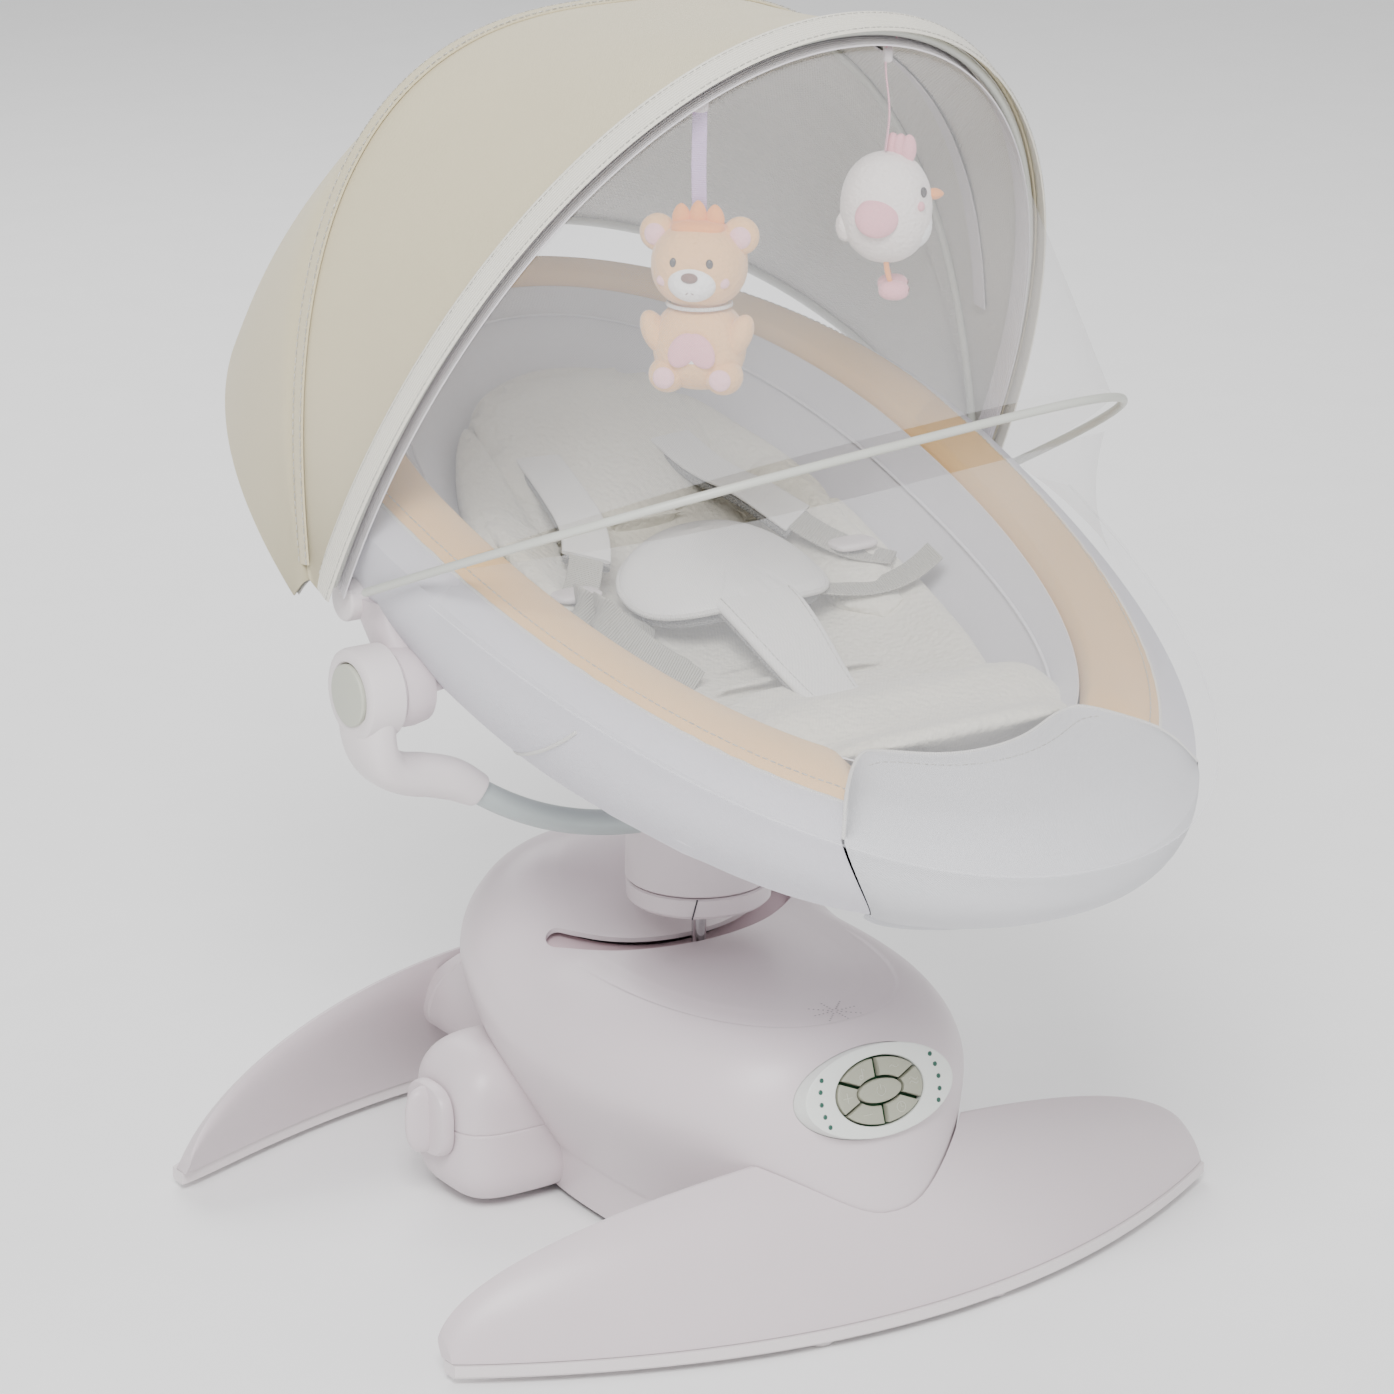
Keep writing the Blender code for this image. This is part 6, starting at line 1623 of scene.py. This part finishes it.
# ---- hanging toys -----------------------------------------------------------------------------------
@dataclass
class Toy:
    """Plush toy on a ribbon, built in its own frame and turned about its ribbon."""
    body: str
    node: str
    hook: tuple
    strap: float
    turn: float

    def place(self, grid: Array) -> Array:
        """Carry points from the toy's frame, whose front is -Y, to the swing."""
        return turn_about_z(grid, self.turn) + np.array(self.hook) - (0, 0, self.strap)

    def blob(self, name: str, centre: Sequence[float], radii: Sequence[float], finish: object,
             exponent: float = 2.0, tilt: float = 0.0) -> bpy.types.Object:
        """One soft lobe, tilted in the plane of the toy's face."""
        grid = ellipsoid(radii, exponent, 44)
        c, s = math.cos(math.radians(tilt)), math.sin(math.radians(tilt))
        grid = grid @ np.array([[c, 0, s], [0, 1, 0], [-s, 0, c]]) + np.array(centre)
        return surface(f"{self.body}_{name}", self.place(grid), finish, self.body, closed=True, sharp=80)

    def line(self, name: str, points: Sequence, radius: float, finish: object) -> None:
        """Embroidered line or seam on the toy."""
        path = through(points, np.linspace(0, len(points) - 1, 24))
        surface(f"{self.body}_{name}", self.place(rod(path, radius, 8, reference=(0.1, 1, 0.1))), finish,
                self.body, closed=True, sharp=80)

    def ribbon(self, finish: object, width: float = 0.0085) -> None:
        """Ribbon from the bow to the toy, folded over the bow and closed by a press clip."""
        path = np.linspace((0, 0, self.strap + 0.0035), (0, 0, 0.002), 40)
        path[:, 1] += 0.0012 * np.sin(np.linspace(0, 7, 40))
        surface(f"{self.body}_ribbon_band", self.place(strip(path, width, 0.0012)), finish, self.body,
                closed=True, sharp=60)
        loop_turn = np.linspace(-0.3 * math.pi, 1.3 * math.pi, 40)
        hook = points_of(0, 0.0050 * np.cos(loop_turn), self.strap + 0.0045 + 0.0050 * np.sin(loop_turn))
        surface(f"{self.body}_ribbon_loop", self.place(strip(hook, width, 0.0011)), finish, self.body,
                closed=True, sharp=60)
        clip = ellipsoid((width * 0.62, 0.0028, 0.0050), 3.4, 28) + (0, 0, self.strap - 0.007)
        surface(f"{self.body}_clip", self.place(clip), Finish.HEAD, self.body, closed=True)


def build_bear(hook: tuple) -> None:
    """Hanging bear with a felt crown."""
    bear = Toy("bear", "bear_toy", hook, 0.072, -45.0)
    bear.ribbon(Finish.LILAC)
    head = bear.blob("head", (0, 0, -0.0255), (0.0270, 0.0240, 0.0245), Finish.BEAR, 2.25)
    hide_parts("bear_toy")
    bear.blob("torso", (0, 0, -0.0715), (0.0262, 0.0220, 0.0255), Finish.BEAR, 2.3)
    neck = np.linspace(0, 6.283, 13)
    bear.line("collar", points_of(0.018 * np.cos(neck), 0.0165 * np.sin(neck), -0.0480), 0.0012,
              Finish.PIPING)
    bear.blob("muzzle", (0, -0.0185, -0.0320), (0.0140, 0.0095, 0.0108), Finish.MUZZLE)
    bear.blob("nose", (0, -0.0275, -0.0275), (0.0048, 0.0024, 0.0030), Finish.NOSE)
    bear.line("mouth", [(-0.0042, -0.0255, -0.0352), (-0.0018, -0.0268, -0.0366), (0, -0.0270, -0.0345),
                        (0.0018, -0.0268, -0.0366), (0.0042, -0.0255, -0.0352)], 0.0004, Finish.NOSE)
    bear.blob("belly_patch", (0, -0.0172, -0.0700), (0.0110, 0.0062, 0.0110), Finish.MUZZLE)
    for side, word in SIDES:
        bear.blob(word + "_ear", (side * 0.0235, 0, -0.0085), (0.0105, 0.0070, 0.0108), Finish.BEAR)
        bear.blob(word + "_ear_inner", (side * 0.0240, -0.0048, -0.0085), (0.0064, 0.0030, 0.0066),
                  Finish.PINK)
        bear.blob(word + "_eye", (side * 0.0100, -0.0215, -0.0205), (0.0024, 0.0018, 0.0030), Finish.EYE)
        bear.blob(word + "_cheek", (side * 0.0165, -0.0176, -0.0315), (0.0042, 0.0020, 0.0034), Finish.PINK)
        bear.blob(word + "_heart_half", (side * 0.0050, -0.0222, -0.0700), (0.0074, 0.0022, 0.0108),
                  Finish.ROSE, 2.0, side * 32)
        bear.blob(word + "_arm", (side * 0.0240, -0.0070, -0.0640), (0.0072, 0.0082, 0.0130),
                  Finish.BEAR, 2.0,
                  side * -24)
        bear.blob(word + "_leg", (side * 0.0160, -0.0100, -0.0870), (0.0108, 0.0130, 0.0103), Finish.BEAR)
        bear.blob(word + "_sole", (side * 0.0160, -0.0215, -0.0865), (0.0062, 0.0022, 0.0062), Finish.PINK)
    for number, (x, height) in enumerate(((-0.0095, 0.0085), (0.0, 0.0105), (0.0095, 0.0085))):
        bear.blob(f"crown_{number}", (x, -0.0030, 0.0008), (0.0055, 0.0036, height), Finish.FELT, 1.7)
    bear.blob("crown_band", (0, -0.0030, -0.0038), (0.0155, 0.0105, 0.0046), Finish.FELT, 2.6)


def build_chick(hook: tuple) -> None:
    """Hanging chick with thin legs."""
    chick = Toy("chick", "chick_toy", hook, 0.064, 57.0)
    chick.ribbon(Finish.ROSE_RIBBON, 0.0095)
    body = chick.blob("body", (0, 0, -0.0310), (0.0215, 0.0262, 0.0320), Finish.CHICK, 2.15)
    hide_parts("chick_toy")
    chick.blob("tail", (0, 0.0225, -0.0420), (0.0075, 0.0062, 0.0090), Finish.CHICK)
    chick.blob("breast", (0, -0.0150, -0.0410), (0.0130, 0.0112, 0.0140), Finish.MUZZLE)
    chick.blob("beak", (0, -0.0272, -0.0235), (0.0048, 0.0055, 0.0034), Finish.FELT, 1.6)
    for number, x in enumerate((-0.0045, 0.0, 0.0045)):
        chick.blob(f"comb_{number}", (x * 0.6, -0.0080 + x, 0.0030), (0.0032, 0.0042, 0.0082), Finish.ROSE)
    for side, word in SIDES:
        chick.blob(word + "_eye", (side * 0.0125, -0.0205, -0.0200), (0.0026, 0.0020, 0.0031), Finish.EYE)
        chick.blob(word + "_cheek", (side * 0.0150, -0.0190, -0.0275), (0.0030, 0.0024, 0.0028), Finish.ROSE)
        chick.blob(word + "_wing", (side * 0.0200, 0.0060, -0.0330), (0.0052, 0.0125, 0.0115),
                   Finish.ROSE, 2.0,
                   side * 14)
        x = 0.0105 if side > 0 else -0.0065
        chick.line(word + "_shank", [(x, 0, -0.0590), (x, -0.0005, -0.0660), (x, -0.0021, -0.0720)], 0.0016,
                   Finish.FELT)
        chick.blob(word + "_foot", (x, -0.0045, -0.0780), (0.0062, 0.0088, 0.0056), Finish.ROSE, 2.3)
        for toe in (-1, 0, 1):
            chick.line(f"{word}_toe_{toe + 1}", [(x + toe * 0.0026, -0.0132, -0.0765),
                                                (x + toe * 0.0026, -0.0120, -0.0800)], 0.0004, Finish.NOSE)


# ---- stage ------------------------------------------------------------------------------------------
@dataclass
class Stage:
    """Plain floor, soft lights and the camera."""
    azimuth: float = -32.943
    elevation: float = 18.107
    distance: float = 3.1761
    aim: tuple = (-0.0009, 0.3222)
    roll: float = -0.087
    lens: float = 136.19

    def light(self, name: str, place: Sequence[float], size: float, power: float) -> None:
        """Soft square light aimed at the seat."""
        lamp = bpy.data.lights.new(name, "AREA")
        lamp.size, lamp.energy = size, power
        piece = bpy.data.objects.new(name, lamp)
        bpy.context.scene.collection.objects.link(piece)
        piece.location = place
        piece.rotation_euler = (Vector((0, 0, 0.4)) - Vector(place)).to_track_quat("-Z", "Y").to_euler()

    def build(self) -> None:
        """Floor, world, lights and camera."""
        reach = 30.0
        rows = np.concatenate((np.linspace(-reach, 6, 20), 6 + 6 * np.sin(np.linspace(0.05, 1.57, 24))))
        lift = np.concatenate((np.zeros(20), 6 - 6 * np.cos(np.linspace(0.05, 1.57, 24))))
        side = np.linspace(-reach, reach, 24)
        floor = surface("studio_floor", points_of(side[None], rows[:, None], lift[:, None]),
                        Moulded("studio floor", linear(250, 250, 250), 0.9, 0.0), "base")
        world = bpy.data.worlds.new("studio")
        bpy.context.scene.world = world
        world.use_nodes = True
        world.node_tree.nodes["Background"].inputs[0].default_value = (1.0, 1.0, 1.0, 1.0)
        world.node_tree.nodes["Background"].inputs[1].default_value = 0.72
        self.light("key light", (-1.9, -2.3, 3.0), 1.5, 190.0)
        self.light("fill light", (2.6, -1.6, 1.8), 2.6, 18.0)
        self.light("rear light", (0.6, 2.4, 2.6), 2.2, 60.0)
        turn, rise = math.radians(self.azimuth), math.radians(self.elevation)
        back = Vector((math.sin(turn) * math.cos(rise), -math.cos(turn) * math.cos(rise), math.sin(rise)))
        right = Vector((math.cos(turn), math.sin(turn), 0.0))
        target = right * self.aim[0] + Vector((0, float(POST_PLACE[1]), self.aim[1]))
        sight = bpy.data.objects.new("camera", bpy.data.cameras.new("camera"))
        sight.data.lens, sight.data.sensor_width = self.lens, 36.0
        bpy.context.scene.collection.objects.link(sight)
        above = back.cross(right)
        frame_of = Matrix((right, above, back)).transposed()
        turned = frame_of @ Matrix.Rotation(math.radians(self.roll), 3, "Z")
        sight.matrix_world = Matrix.Translation(target + back * self.distance) @ turned.to_4x4()
        bpy.context.scene.camera = sight


HIDDEN_PARTS = {"base_lower_cover": Finish.SHELL, "button_board": Finish.BOARD, "drive_coil": Finish.COPPER,
                "speaker": Finish.DARK_AND_NOTCH_SHADE, "power_inlet": Finish.DARK_AND_NOTCH_SHADE, "swing_arm": Finish.STEEL,
                "swing_bearing": Finish.STEEL, "left_hinge_pin": Finish.STEEL,
                "right_hinge_pin": Finish.STEEL, "seat_bucket": Finish.OUTER}


def dress_node(node: str, finish: object) -> None:
    """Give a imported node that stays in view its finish."""
    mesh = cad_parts[node].data
    mesh.materials.clear()
    mesh.materials.append(Finish.of(finish))


def build_swing() -> None:
    """Build every sub-assembly and the stage."""
    logging.basicConfig(level=logging.INFO, format="%(message)s")
    canopy = Canopy()
    jobs: list[tuple[str, Callable]] = [
        ("base", Base().build), ("panel", Panel().build), ("head", Head().build), ("seat", Seat().build),
        ("canopy", canopy.build)]
    for name, job in jobs:
        LOG.info("building the %s", name)
        job()
    for maker, x in ((build_bear, -0.082), (build_chick, 0.038)):
        bow = canopy.front
        hook = bow.at(np.arccos(spow(np.array(x / bow.half), bow.exponent / 2)) / math.pi)
        maker((x, float(hook[1]) + 0.010, float(hook[2]) - 0.0066))
    for node, finish in HIDDEN_PARTS.items():
        dress_node(node, finish)
    Stage().build()


if __name__ == "__main__":
    build_swing()
